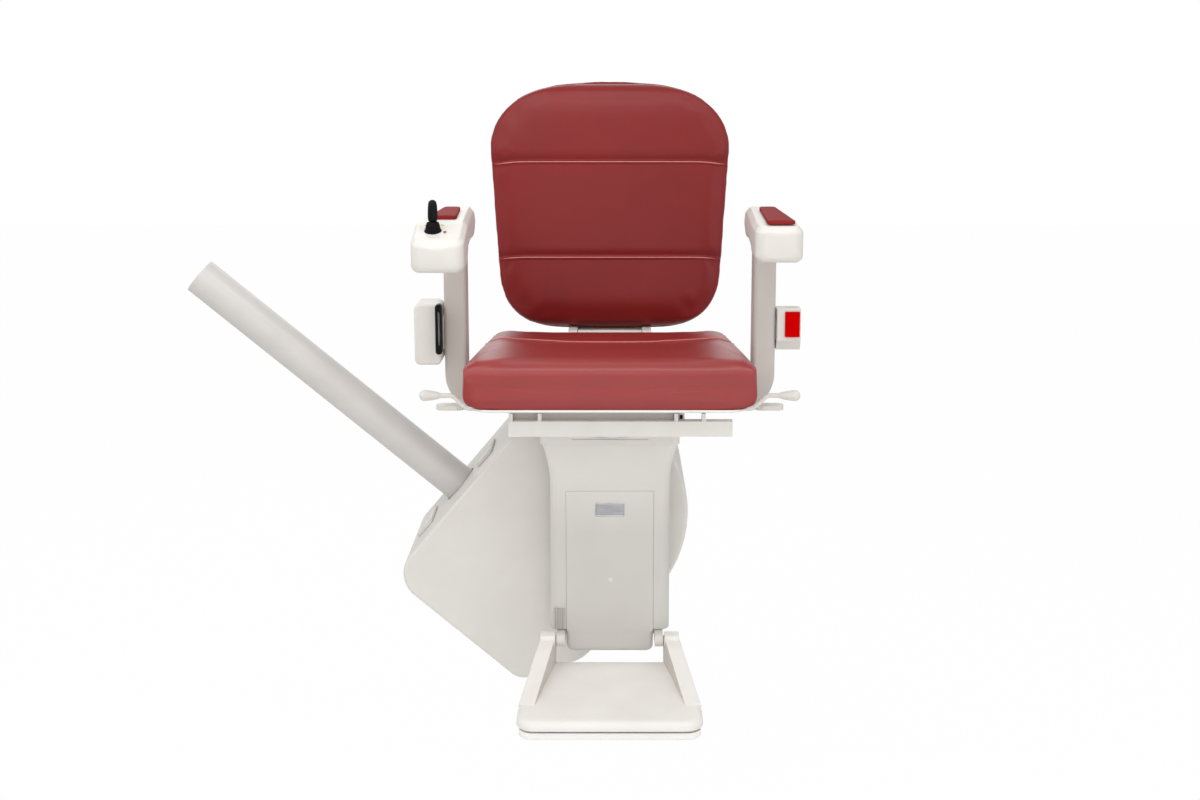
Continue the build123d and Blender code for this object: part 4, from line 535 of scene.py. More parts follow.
# %% Seat cushion
SEAT_FRONT, SEAT_BACK, SEAT_LOW = -200.0, 186.0, 502.6
SEAT_HALF, SEAT_TAPER = 232.5, 26
SEAT_TOP, SEAT_FALL, SEAT_DIP = 577, 20, 2.8
SEAT_ROLL, SEAT_CORNER = 24.0, 30.0
# the sewn channel: where it crosses, how far it bows forwards, and how far it runs sideways
SEAT_SEAM, SEAT_BOW, SEAM_REACH = 66.0, 37.0, 211
# heights: the foam is held below the first, the channel and the side seams start above the others
SEAT_HELD, SEAM_FROM, SIDE_FROM = 514, 528, 530
SIDE_INSET = 7.5


def seat_along(y):
    """How far back a place is: 0 at the front, 1 at the back."""
    return (y - SEAT_FRONT) / (SEAT_BACK - SEAT_FRONT)


def seat_half(y):
    """Half the width: fullest a hand behind the front, then narrowing towards the back."""
    return SEAT_HALF - SEAT_TAPER * max(0.0, seat_along(y) - 0.08) ** 1.25


def seam_bow(x):
    """How far forwards the channel bows, this far from the middle."""
    return SEAT_BOW * max(0.0, 1 - (x / SEAM_REACH) ** 2)


def seat_bow(x, y):
    """How far the rows of the mesh bow forwards: all of it at the channel, none at the ends."""
    near = max(0.0, 1 - abs(y - SEAT_SEAM) / 105)
    return seam_bow(x) * near * near * (3 - 2 * near)


def every(step, first, last):
    """Places from the first up to the last, one step apart."""
    places = []
    while first < last:
        places.append(first)
        first += step
    return places


def seat_stations():
    """Where the sections stand: close together at the ends and at the channel."""
    ends = [0, 0.8, 2.2, 4.5, 8, 12, 17, 23, 30, 38, 46]
    places = [SEAT_FRONT + e for e in ends] + [SEAT_BACK - e for e in ends]
    places += every(9, SEAT_FRONT + 54, SEAT_SEAM - 22)
    places += every(1.0, SEAT_SEAM - 14, SEAT_SEAM + 16)
    places += [SEAT_SEAM + e for e in (20, 26, 34, 44, 55)]
    return sorted(places)


def seat_top(x, y):
    """The cushion's upper face: it falls towards the back and dips a little in the middle."""
    along = seat_along(y)
    fall = SEAT_TOP - SEAT_FALL * along
    dip = SEAT_DIP * min(1.0, max(0.0, along - 0.2) / 0.4)
    return fall - dip * math.cos(min(1.0, abs(x) / 190) * math.pi / 2)


def build_seat():
    rings = []
    for y in seat_stations():
        front, back = y - SEAT_FRONT, SEAT_BACK - y
        half = seat_half(y) - standing_back(min(front * 1.9, 40), 40) * 0.12
        half -= standing_back(back, SEAT_CORNER) if back < SEAT_CORNER else 0
        high = seat_top(200, y) - standing_back(front, SEAT_ROLL) - standing_back(back, 24)
        low = SEAT_LOW + standing_back(front, 2) + standing_back(back, 5)
        ring = []
        for x, z in pad_ring(half, low, high, (11.0, 6.0), 176):
            if z < (low + high) / 2:
                x *= 1 - 0.028 * (1 - (z - low) / (high - low) * 2) ** 2
            else:
                z += (seat_top(x, y) - seat_top(200, y)) * min(1.0, (z - (low + high) / 2) / 20)
            ring.append(at(x, y - seat_bow(x, y), z))
        rings.append(ring)
    return skin("seat_cushion_cover", rings, seat_vinyl_painted_light, close_first=5.0, close_last=2.0)


def channel(off, deep, tight, loose, lip, lip_place, lip_wide):
    """How deep a sewn channel is this far from its line.

    It is steep on the near side, where a small lip stands, and rolls out on the far side.
    """
    wide, power = (loose, 1.6) if off >= 0 else (tight, 2.0)
    sunk = deep * math.exp(-(abs(off) / wide) ** power)
    return sunk - lip * math.exp(-((off + lip_place) / lip_wide) ** 2)


seat_pad = build_seat()
seat_moves = swell(seat_pad, lambda p: p.z < at(0, 0, SEAT_HELD).z, 4)
for vertex, move in zip(seat_pad.data.vertices, seat_moves):
    vertex.co += move
    x, y, z = (vertex.co - CHAIR) * 1000
    if z > SEAM_FROM:
        press = channel(y - (SEAT_SEAM - seam_bow(x)), deep=4.4, tight=1.8, loose=7.5,
                        lip=1.5, lip_place=4.5, lip_wide=2.6)
        vertex.co.z -= press / 1000 * min(1.0, (z - SEAM_FROM) / 12)
    # the side panels are sewn on along the top and down the front
    line = abs(x) - (seat_half(y) - SIDE_INSET)
    if z > SIDE_FROM and y > SEAT_FRONT + 4 and abs(line) < 7:
        sink = 1.9 * math.exp(-(line / 1.5) ** 2) * min(1.0, (z - SIDE_FROM) / 14)
        on_top = min(1.0, max(0.0, (y - SEAT_FRONT - 2) / 22))
        vertex.co.z -= sink * on_top / 1000
        vertex.co.y += sink * (1 - on_top) / 1000
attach(seat_pad, "seat")


def welt(name, pad, lines, radius, body):
    """A sewn cord, its radius in metres, laid where each line (start, direction) meets a pad; its
    pale pink is a painted highlight along the seam.
    """
    surface = BVHTree.FromPolygons([v.co for v in pad.data.vertices],
                                   [f.vertices for f in pad.data.polygons])
    path = []
    for start, way in lines:
        hit = surface.ray_cast(start, way)[0]
        if hit is not None:
            path.append(hit - way * radius * 0.35)
    rings = []
    for i, point in enumerate(path):
        ahead = (path[min(i + 1, len(path) - 1)] - path[max(i - 1, 0)]).normalized()
        side = ahead.cross(lines[0][1]).normalized()
        over = side.cross(ahead)
        size = radius * min(1.0, 0.15 + 0.3 * min(i, len(path) - 1 - i))
        turns = [a * math.pi / 5 for a in range(10)]
        rings.append([point + (side * math.cos(a) + over * math.sin(a)) * size for a in turns])
    cord = skin(name, rings, cord_painted_highlight)
    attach(cord, body)


down = Vector((0, 0, -1))
WELT_AHEAD, SEAT_WELT = 3.6, 0.0011
welt("seat_welt", seat_pad, [(at(x, SEAT_SEAM - seam_bow(x) - WELT_AHEAD, 640), down)
                             for x in range(-204, 205, 6)], SEAT_WELT, "seat")
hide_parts("seat_cushion")
print("seat cushion points:", len(seat_pad.data.vertices))

# %% [markdown]
# ## The backrest
#
# A flatter pad, leaning back seven degrees, broad at the shoulders with large round corners and
# narrower at the waist. Two sewn channels cross it. Above each channel the pad rolls gently in,
# and below it the next panel starts with a tight lip, which catches the light as a thin bright
# line; a pale cord laid along the lip adds a painted highlight to that line.

# %% Backrest cushion
BACK_LEAN = math.radians(7)
BACK_Y, BACK_Z = 250, 559
BACK_TALL, BACK_THICK, BACK_CROWN, BACK_DROP = 441.0, 38.0, 8.0, 10.0
BACK_WAIST, BACK_FLARE = 197.5, 24
BACK_SEAMS = (124.0, 297.0)
# the channels are sewn in above this depth, and the border runs this far inside the outline
BACK_SEWN, BORDER = 22, 9


def on_back(x, up, out):
    """A point on the backrest: across, up along it, and out towards the sitter, in mm."""
    y = BACK_Y + up * math.sin(BACK_LEAN) - out * math.cos(BACK_LEAN)
    z = BACK_Z + up * math.cos(BACK_LEAN) + out * math.sin(BACK_LEAN)
    return at(x, y, z)


def back_half(up):
    """The backrest's outline as half its width at each height."""
    across = BACK_WAIST + BACK_FLARE * min(1.0, up / (0.74 * BACK_TALL))
    for reach, tall, full in ((BACK_TALL - up, 121, 3.1), (up + BACK_DROP, 98, 5.0)):
        if reach < tall:
            across *= (1 - (1 - max(reach, 0.5) / tall) ** 2) ** (1 / full)
    return across


def back_stations():
    """Where the sections stand: close together at the ends and at both channels."""
    ends = [0, 0.3, 0.9, 1.8, 3, 5, 8, 12, 17, 23, 30, 38, 47, 57, 68, 80]
    places = [e - BACK_DROP for e in ends] + [BACK_TALL - e for e in ends]
    for seam in BACK_SEAMS:
        places += every(1.1, seam - 22, seam + 22)
    places += [88, 95, 158, 172, 186, 200, 214, 228, 242, 256, 266, 330, 341]
    return sorted(places)


def build_back():
    rings = []
    for up in back_stations():
        end = min(up + BACK_DROP, BACK_TALL - up)
        half = back_half(up)
        thick = BACK_THICK - 1.25 * standing_back(end, 20)
        crown = BACK_CROWN * min(1.0, 0.15 + end / 70)
        rear = 0.6 + standing_back(end, 8)
        ring = []
        for x, out in pad_ring(half, rear, max(thick, rear + 6), (9.0, 5.0), 168):
            if out > thick / 2:
                out += crown * (1 - (x / half) ** 2) * min(1.0, (out - thick / 2) / (thick / 4))
            ring.append(on_back(x, up, out))
        rings.append(ring)
    return skin("back_cushion_cover", rings, vinyl, close_first=2.0, close_last=2.0)


def seam_up(seam, x):
    """The height of a channel this far from the middle: its ends droop a little."""
    return seam - 3.5 * min(1.0, max(0.0, (abs(x) - 150) / 50)) ** 2


back_pad = build_back()
BACK_FRONT = Vector((0, -math.cos(BACK_LEAN), math.sin(BACK_LEAN)))
BACK_UP = Vector((0, math.sin(BACK_LEAN), math.cos(BACK_LEAN)))
back_foot = at(0, BACK_Y, BACK_Z)
back_moves = swell(back_pad, lambda p: (p - back_foot).dot(BACK_FRONT) < 0.009, 4)
for vertex, move in zip(back_pad.data.vertices, back_moves):
    vertex.co += move
    across = (vertex.co.x - CHAIR.x) * 1000
    up = (vertex.co - back_foot).dot(BACK_UP) * 1000
    out = (vertex.co - back_foot).dot(BACK_FRONT) * 1000
    if out < BACK_SEWN:
        continue
    for seam in BACK_SEAMS:
        press = channel(up - seam_up(seam, across), deep=4.2, tight=1.7, loose=8.5,
                        lip=1.4, lip_place=4.2, lip_wide=2.4)
        vertex.co -= BACK_FRONT * press / 1000 * min(1.0, (out - BACK_SEWN) / 10)
    line = back_half(min(max(up, 30.0), BACK_TALL - 30.0)) - BORDER - abs(across)
    if abs(line) < 6 and 14 < up < BACK_TALL - 14:
        press = BACK_FRONT * 1.3 / 1000 * math.exp(-(line / 1.5) ** 2)
        vertex.co -= press * min(1.0, (out - BACK_SEWN) / 8)
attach(back_pad, "seat_frame")
WELT_BELOW, BACK_WELT = 3.4, 0.0010
for i, seam in enumerate(BACK_SEAMS):
    reach = int(back_half(seam) - BORDER)
    lines = [(on_back(x, seam_up(seam, x) - WELT_BELOW, 160), -BACK_FRONT)
             for x in range(-reach, reach + 1, 6)]
    welt(f"back_welt_{i + 1}", back_pad, lines, BACK_WELT, "seat_frame")
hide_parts("back_cushion")
print("backrest points:", len(back_pad.data.vertices))

# %% [markdown]
# ## The shells behind the pads
#
# Both pads are screwed to thin moulded shells. The seat's is a shallow dish with an upright lip, so
# from in front only a white line shows under the cushion, and its back wall rises to the hinge.
# The backrest's is a tray with turned-in edges, a finger's width inside the cushion's outline.


# %% Seat shell and back shell
TRAY_FRONT, TRAY_BACK, TRAY_WIDE, TRAY_NARROW, TRAY_CORNER = -203.0, 194.0, 221, 199, 34
# how far in and how high: flat bottom, sloping sides, upright lip turned in at its top
TRAY_LEVELS = ((90, 484.0), (68, 484.0), (64, 484.6), (50, 488.4), (40, 491.0), (28, 494.0),
               (16, 497.0), (6, 499.6), (2.4, 500.4), (0.9, 500.9), (0.2, 501.8), (0, 502.8),
               (0.2, 503.8), (1.0, 504.6), (2.0, 504.6), (2.8, 503.8), (3.2, 502.0), (3.4, 500.6))


def tray(inset):
    """The seat shell's plan, drawn in by so many mm."""
    front, back = TRAY_FRONT + inset, TRAY_BACK - inset
    wide, narrow = TRAY_WIDE - inset, TRAY_NARROW - inset
    corners = [(-narrow, back), (-wide, front), (wide, front), (narrow, back)]
    return rounded(corners, (max(4.0, TRAY_CORNER - inset),) * 4, 12)


shell = skin("seat_shell_moulding",
             [[at(p.x, p.y, z) for p in tray(inset)] for inset, z in TRAY_LEVELS], coat_with_painted_light)
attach(shell, "seat")
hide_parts("seat_shell")
# the dish's back wall rises to a knuckle round the hinge
SEAT_HINGE, KNUCKLE, WALL_FRONT, WALL_BACK, WALL_LOW = (200, 545), 9.0, 191.2, 194.6, 492
turns = [math.radians(-90 + 300 * i / 20) for i in range(21)]
knuckle = []
for x, r in ((-58, 8.0), (-57.6, 8.6), (-57, KNUCKLE), (57, KNUCKLE), (57.6, 8.6), (58, 8.0)):
    ring = [(SEAT_HINGE[0] + r * math.cos(a), SEAT_HINGE[1] + r * math.sin(a)) for a in turns]
    ring += [(WALL_FRONT, 520 - (KNUCKLE - r)), (WALL_FRONT, WALL_LOW), (WALL_BACK, WALL_LOW),
             (WALL_BACK, 530)]
    knuckle.append([at(x, y, z) for y, z in ring])
wall = skin("seat_knuckle", knuckle, coated, 0.1, 0.1)
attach(wall, "seat")

# the backrest's shell starts this far inside the cushion's outline
RIM_UP, RIM_IN, RIM_DEEP = 8, 5, 14
rings = []
for up in [8.5, 9, 10.5, 13, 17, 23, 31, 42, 56, 74, 96, 140, 200, 260, 310, 340, 360, 376, 390,
           402, 411, 418, 424, 428, 430.8, 432, 432.5]:
    end = min(up - RIM_UP, BACK_TALL - RIM_UP - up)
    half = back_half(up) - RIM_IN
    deep = RIM_DEEP - standing_back(end, 9)
    corners = [(-half, -0.4), (half, -0.4), (half - 2, -deep), (-half + 2, -deep)]
    rings.append([on_back(p.x, up, p.y) for p in rounded(corners, (0.5, 0.5, 9, 9), 8)])
back_tray = skin("back_shell_moulding", rings, moulded, 0.2, 0.2)
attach(back_tray, "seat_frame")
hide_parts("back_shell")
# the front beam's rear flange closes the gap under the dish, except at the far right; its darker
# tone is painted shade in that gap
FLANGE_LEFT, FLANGE_RIGHT, FLANGE_LOW, FLANGE_HIGH = -160, 112, 470.4, 483.4
corners = [(FLANGE_LEFT, FLANGE_LOW), (FLANGE_RIGHT, FLANGE_LOW),
           (FLANGE_RIGHT, FLANGE_HIGH), (FLANGE_LEFT, FLANGE_HIGH)]
flange = skin("front_beam_flange",
              [[at(p.x, y, p.y) for p in rounded(corners, (soft,) * 4, 4)] for y, soft in
               ((-127.6, 0.6), (-127.4, 0.3), (-125.4, 0.3), (-125.2, 0.6))], strap_paint_and_shade, 0.1, 0.1)
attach(flange, "seat_frame")
print("shells made")

# %% [markdown]
# ## The armrest pads
#
# Two thin pads of the same vinyl let into the tops of the arms. Their outline is a four-sided
# strip that widens towards the front. They are too thin to gain anything from stuffing, so their
# sections are simply drawn full, with a rolled edge all the way round.


# %% Armrest pads
PAD_BACK, PAD_INNER, PAD_OUTER, PAD_LOW, PAD_TOP = 20, 249, 276, 792.1, 798.6


def arm_pad(name, body, way, front, front_inner, front_outer, node):
    """A thin pad, straight at its back and widening to its front edge, rolled all round."""
    rows = 46
    rings = []
    for i in range(rows + 1):
        t = 0.5 - 0.5 * math.cos(math.pi * (i / rows))
        y = PAD_BACK + (front - PAD_BACK) * t
        inner = PAD_INNER + (front_inner - PAD_INNER) * t
        outer = PAD_OUTER + (front_outer - PAD_OUTER) * t
        end = min(abs(y - PAD_BACK), abs(y - front))
        middle, half = (inner + outer) / 2, (outer - inner) / 2 - standing_back(end, 8) * 0.9
        section = pad_ring(half, PAD_LOW, PAD_TOP - standing_back(end, 4), (5.0, 8.0), 64)
        rings.append([at(way * (middle + x), y, z) for x, z in section])
    pad = skin(name, rings, pad_vinyl_painted_light, 0.6, 0.6)
    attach(pad, body)
    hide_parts(node)


arm_pad("arm_pad_cover_left", "arm_left", -1, -118, 242, 286, "arm_pad_left")
arm_pad("arm_pad_cover_right", "arm_right", 1, -186, 241, 285, "arm_pad_right")
print("armrest pads made")

# %% [markdown]
# ## The armrests
#
# Each armrest is a hollow moulding: a deep rounded nose in front, a lid whose edges are cut back at
# an angle, and a fork at the back that holds the post's tongue. It is drawn as sections again, from
# the nose to the hinge. The chamfer under the lid is what makes the fine ridge all round the nose.
# The fork's slot is cut out at the end, because a cut keeps the skin around it undisturbed.


# %% Armrest bodies
ARM_FRONT, ARM_TOP, ARM_UNDER = -200.0, 792.0, 741.0
HINGE_Y, HINGE_Z, ARM_END = 70.0, 765.0, 28.0
# the sides near the hinge, and where they start to draw in behind the nose
ARM_INNER, ARM_OUTER, TAPER_FROM = 232, 283, 70
# the lid slopes up over this length, and the underside rises behind the nose
LID_RUN, LEFT_NOSE, RISE_FROM, RISE_RUN = 75, 768, 62, 38
SHOULDER, NOSE_ROUND, LOWER_ROUND = 9.0, 20, 11


def mix(low, high, share):
    """A value between low and high; the share is held between 0 and 1."""
    share = min(1.0, max(0.0, share))
    return low + (high - low) * share


def arm_stations():
    """Where the sections stand: close together at the nose, then by turns round the hinge."""
    near = [0, 0.4, 1.2, 2.5, 4.5, 7, 10, 14, 19, 25, 32, 40, 50, 60, 62, 68, 75, 84, 92, 100,
            112, 128]
    places = [ARM_FRONT + n for n in near] + [-50, -25, 0, 20, 34, 46, 58, 70]
    turns = (12, 24, 36, 48, 58, 67, 75, 82, 87)
    return places + [HINGE_Y + ARM_END * math.sin(math.radians(a)) for a in turns]


def arm_section(y, way, inner, outer, low, nose):
    """One section of an armrest: flat lid, chamfered shoulders, rounded below."""
    d = y - ARM_FRONT
    pull = 0.9 * standing_back(d, NOSE_ROUND)
    taper = (d - TAPER_FROM) / (HINGE_Y - ARM_END - ARM_FRONT - TAPER_FROM)
    left = mix(inner, ARM_INNER, taper) + pull
    right = mix(outer, ARM_OUTER, taper) - pull
    top = mix(nose, ARM_TOP, d / LID_RUN)
    under = mix(low, ARM_UNDER, (d - RISE_FROM) / RISE_RUN)
    if y > HINGE_Y:
        h = math.sqrt(max(0.0, ARM_END ** 2 - (y - HINGE_Y) ** 2))
        top, under = min(top, HINGE_Z + h), max(HINGE_Z - h, ARM_UNDER - 4)
    elif y > HINGE_Y - 12:
        under = mix(ARM_UNDER, HINGE_Z - ARM_END, (y - HINGE_Y + 12) / 12)
    front_cut = max(0.0, 8.0 - d) * 1.05
    top -= front_cut
    under += standing_back(d, LOWER_ROUND)
    shoulder = min(max(2.0, SHOULDER - front_cut), 0.3 * (top - under))
    bottom = min(LOWER_ROUND, 0.3 * (top - under))
    corners = [(left, under), (right, under), (right, top - shoulder), (right - 7, top),
               (left + 7, top), (left, top - shoulder)]
    ring = rounded(corners, (bottom, bottom, 5, 4, 4, 5))
    return [at(way * p.x, y, p.y) for p in ring]


def cut_slot(piece, low, high):
    """Cuts a box-shaped slot out of a piece, given by its two corners in chair millimetres."""
    x0, y0, z0 = low
    x1, y1, z1 = high
    corners = [at(x, y, z) for x in (x0, x1) for y in (y0, y1) for z in (z0, z1)]
    faces = [(0, 1, 3, 2), (4, 6, 7, 5), (0, 4, 5, 1), (2, 3, 7, 6), (0, 2, 6, 4), (1, 5, 7, 3)]
    cutter = new_piece("slot_cutter", corners, faces, moulded)
    cut = piece.modifiers.new("slot", "BOOLEAN")
    cut.operation = "DIFFERENCE"
    cut.solver = "EXACT"
    cut.object = cutter
    with bpy.context.temp_override(object=piece, active_object=piece, selected_objects=[piece]):
        bpy.ops.object.modifier_apply(modifier="slot")
    mesh = cutter.data
    bpy.data.objects.remove(cutter)
    bpy.data.meshes.remove(mesh)
    piece.data.set_sharp_from_angle(angle=math.radians(35))


POST_X, SLOT_HALF = 264, 8.6


def arm_moulding(name, way, inner, outer, low, nose):
    """One armrest: its nose's inner and outer side, underside and lid, in chair millimetres."""
    rings = [arm_section(y, way, inner, outer, low, nose) for y in arm_stations()]
    piece = skin(f"arm_moulding_{name}", rings, moulded, close_first=3.5, close_last=0.3)
    side = sorted((way * (POST_X - SLOT_HALF), way * (POST_X + SLOT_HALF)))
    cut_slot(piece, (side[0], 49, 715), (side[1], 110, 786))
    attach(piece, f"arm_{name}")
    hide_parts(f"arm_body_{name}")


arm_moulding("left", -1, 223.5, 306, 718, LEFT_NOSE)
arm_moulding("right", 1, 222.5, 297, 734, 790)
print("armrest mouldings made")

# %% [markdown]
# ## The joystick
#
# A turned grip above a rubber boot. The boot is clamped flat to the sloping lid by its flange and
# ends upright round the stem, so its rings tilt from the lid's slope to level as they climb.

# %% Joystick, boot and arrows
# where the stick comes out of the lid
STICK = (-273.5, -163.0, 779.8)
LID_SLOPE = math.atan2(ARM_TOP - LEFT_NOSE, LID_RUN)
BOOT_TALL = 12
# radius and height: the grip from the chair's foot, the boot from the lid
GRIP = ((4.2, 786.5), (5.0, 787.2), (5.0, 790), (5.3, 794), (6.2, 795.2), (7.2, 796.4),
        (7.6, 798.5), (7.7, 802), (7.6, 808), (7.3, 815), (6.9, 820), (6.2, 823.6),
        (5.0, 826), (3.2, 827.4), (1.2, 828))
BOOT = ((13.0, -1.6), (13.5, -0.9), (13.6, 0.2), (13.2, 1.0), (12.2, 1.3), (11.8, 1.8),
        (11.9, 3.2), (11.5, 5.0), (10.7, 5.6), (10.9, 6.4), (11.0, 8.2), (10.6, 9.8),
        (9.8, 10.4), (9.9, 11.1), (9.7, 12.6), (8.6, 13.8), (6.4, 14.4), (5.6, 14.6))


def upright(radius, height, angle):
    """A point of the grip, which stands straight up."""
    return at(STICK[0] + radius * math.cos(angle), STICK[1] + radius * math.sin(angle), height)


def on_lid(radius, height, angle):
    """A point of the boot: tilted with the lid at the flange, level at the neck."""
    tilt = LID_SLOPE * (1 - min(1.0, max(0.0, height / BOOT_TALL)))
    x, y = radius * math.cos(angle), radius * math.sin(angle)
    return at(STICK[0] + x, STICK[1] + y * math.cos(tilt) - height * math.sin(tilt) * 0.6,
              STICK[2] + y * math.sin(tilt) + height)


grip = lathe("joystick_grip", GRIP, black_plastic, upright)
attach(grip, "joystick")
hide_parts("joystick")
boot = lathe("joystick_boot", BOOT, black_rubber, on_lid)
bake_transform(boot)

yellow_print = finish("yellow_print", (214, 200, 24), (200, 184, 12), 60, (0.4, 0.5),
                      900, (0.05, 0.0001))
# the arrows lie on the lid behind the boot, part sunk and part proud of it
ARROW, ARROW_BEHIND, ARROW_SUNK, ARROW_PROUD = [(9.5, -3.6), (16.5, 0), (9.5, 3.6)], 20, -0.4, 0.25
for way in (-1, 1):
    points = []
    for lift in (ARROW_SUNK, ARROW_PROUD):
        for x, y in rounded(ARROW, (0.6, 0.8, 0.6), 4):
            depth = STICK[1] + ARROW_BEHIND + y
            lid = LEFT_NOSE + (ARM_TOP - LEFT_NOSE) * (depth - ARM_FRONT) / LID_RUN
            points.append(at(STICK[0] + way * x, depth, lid + lift))
    n = len(points) // 2
    faces = [tuple(range(n)), tuple(range(n, 2 * n))]
    faces += [(i, (i + 1) % n, n + (i + 1) % n, n + i) for i in range(n)]
    arrow = new_piece("arrow_left" if way < 0 else "arrow_right", points, faces, yellow_print)
    arrow.data.shade_flat()
    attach(arrow, "arm_left")
print("joystick made")

# %% [markdown]
# ## The column
#
# The cover is one tall moulding with straight sides that flare into the head. Its sections are
# level outlines, and the window for the front panel is a shallow recess pressed into them. The
# panel lies in that recess with a soft edge, and its skirt hangs below the cover. Soft edges
# matter here: a joint this fine shows in life as a faint line, never as a black one.


# %% Column cover, front panel and service cap
COVER_HALF, COVER_FRONT, COVER_BACK, COVER_ROUND = 101.0, -40.0, 47.5, 15
WAIST, FLARE_TALL, FLARE = 341, 64, 13.5
# the window for the panel: its half width, its top, its depth and the width of its soft edge
WINDOW_HALF, WINDOW_TOP, WINDOW_DEEP, WINDOW_SOFT = 74.4, 325.2, 1.7, 1.0


def ease(value):
    """A smooth step from 0 to 1."""
    value = min(1.0, max(0.0, value))
    return value * value * (3 - 2 * value)


def cover_half(z):
    """Half the cover's width: straight to the waist, then out to the head in a hollow curve."""
    if z <= WAIST:
        return COVER_HALF
    share = (z - WAIST) / FLARE_TALL
    return COVER_HALF + FLARE * (0.62 * share ** 2.2 + 0.38 * share)


def cover_corner(x, y, start):
    """A quarter turn round one front corner's centre."""
    turns = [math.radians(start + 90 * i / 8) for i in range(9)]
    return [Vector((x + COVER_ROUND * math.cos(a), y + COVER_ROUND * math.sin(a))) for a in turns]


def cover_ring(z, inset):
    """A level outline of the cover, with plenty of points where the window's edge is."""
    half, front, back = cover_half(z) - inset, COVER_FRONT + inset, COVER_BACK - inset
    across = [-80, -76, -75, -74.5, -74.1, -73.7, -73.3, -72.8, -72, -70, -60, -40, -20]
    ring = [Vector((-half, back)), Vector((-half, back / 2))]
    ring += cover_corner(-half + COVER_ROUND, front + COVER_ROUND, 180)
    ring += [Vector((x, front)) for x in across + [0] + [-x for x in reversed(across)]]
    ring += cover_corner(half - COVER_ROUND, front + COVER_ROUND, 270)
    ring += [Vector((half, back / 2)), Vector((half, back))]
    for p in ring:
        if p.y < front + 0.1 and abs(p.x) < 76:
            sideways = ease((WINDOW_HALF - abs(p.x)) / WINDOW_SOFT)
            p.y += WINDOW_DEEP * sideways * ease((WINDOW_TOP - z) / WINDOW_SOFT)
    return [at(p.x, p.y, z) for p in ring]


# heights and insets: rounded ends, and close steps at the window's top and in the flare
levels = [(80.5, 0.9), (80.8, 0.3), (81.6, 0.0)]
levels += [(z, 0) for z in (100, 140, 180, 220, 260, 300, 320)]
levels += [(z / 10, 0) for z in range(3236, 3262, 3)] + [(330, 0), (336, 0)]
levels += [(WAIST + 4 * i, 0) for i in range(16)] + [(403.6, 0.0), (404.6, 0.4), (405.2, 1.2)]
cover = skin("column_cover_moulding", [cover_ring(z, inset) for z, inset in levels], column_with_painted_light)
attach(cover, "column")
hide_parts("column_cover")

PANEL_HALF, PANEL_FACE, PANEL_LOW, SKIRT_FROM = 73.6, -39.75, 42, 81


def panel_ring(z, inset):
    """A level outline of the panel: its skirt is deeper, hangs back and is rounded at the foot."""
    hang = ease((SKIRT_FROM - z) / 8)
    back = -38.2 + 26 * (1.0 if z < 79.5 else 0.0)
    front, half = PANEL_FACE + inset + 0.25 * hang, PANEL_HALF - inset
    if z < 58:
        half -= standing_back(z - PANEL_LOW, 9)
        front += 0.5 * standing_back(z - PANEL_LOW, 6)
    soft = 0.7 + 6 * hang
    corners = [(-half, back), (-half, front), (half, front), (half, back)]
    return [at(p.x, p.y, z) for p in rounded(corners, (0.2, soft, soft, 0.2), 8)]


levels = [(324.4, 0.9), (324.2, 0.5), (323.8, 0.15)]
levels += [(z, 0) for z in (323.2, 300, 250, 200, 150, 110, 84, 81, 80, 79.4, 77, 75, 72, 66, 60,
                            56, 52, 49, 46.5, 44.6, 43.2, 42.4, 42.1)]
panel = skin("column_panel_moulding", [panel_ring(z, inset) for z, inset in levels], column_with_painted_light)
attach(panel, "column")
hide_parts("column_panel")

CAP_X, CAP_Z = 2.0, 168.7
CAP = ((5.2, -0.6), (5.1, -0.1), (4.7, 0.05), (4.5, -0.1), (4.3, 0.25), (3.4, 0.5), (1.8, 0.62),
       (0.5, 0.65))


def on_face(radius, height, angle):
    """A point of the service cap, which is turned about a line straight out of the panel."""
    return at(CAP_X + radius * math.cos(angle), PANEL_FACE - height,
              CAP_Z + radius * math.sin(angle))


cap = lathe("service_cap", CAP, moulded, on_face, 32)
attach(cap, "column")
print("column made")

# %% [markdown]
# The plate near the top of the panel is a bare strip of brushed metal in a bright rim. Brushing is
# a noise stretched a hundred times along one axis, used for both tone and roughness.

# %% Metal plate
PLATE_Y, PLATE_Z, PLATE_HALF, PLATE_TALL, PLATE_ROUND = -40.1, 292.3, 24.5, 11.8, 1.8
# how far in and how far behind the plate's face
RIM = ((0, 1.3), (0, 0.1), (0.3, -0.35), (0.8, -0.55), (1.4, -0.5), (1.9, -0.1), (2.2, 0.1))
FIELD = ((2.0, 0.6), (2.0, -0.02), (2.3, -0.12), (4, -0.14))

brushed, tree, shader = blank("brushed_plate")
place = add(tree, "ShaderNodeTexCoord").outputs["Object"]
stretch = add(tree, "ShaderNodeMapping", {"Vector": place, "Scale": (20, 1, 2400)})
streak = add(tree, "ShaderNodeTexNoise",
             {"Vector": stretch.outputs["Vector"], "Scale": 1.0, "Detail": 3.0}).outputs["Fac"]
tones = add(tree, "ShaderNodeMix", {0: spread(tree, streak, 0.0, 1.0), 6: paint(134, 134, 138),
                                    7: paint(186, 186, 190)}, data_type="RGBA")
tree.links.new(tones.outputs[2], shader.inputs["Base Color"])
tree.links.new(spread(tree, streak, 0.28, 0.44), shader.inputs["Roughness"])
shader.inputs["Metallic"].default_value = 1.0


def plate_ring(inset, y):
    """The plate's outline, drawn in by so many mm."""
    half, tall = PLATE_HALF - inset, PLATE_TALL - inset
    corners = [(-half, -tall), (half, -tall), (half, tall), (-half, tall)]
    return [at(p.x, y, PLATE_Z + p.y)
            for p in rounded(corners, (max(0.4, PLATE_ROUND - inset),) * 4, 5)]


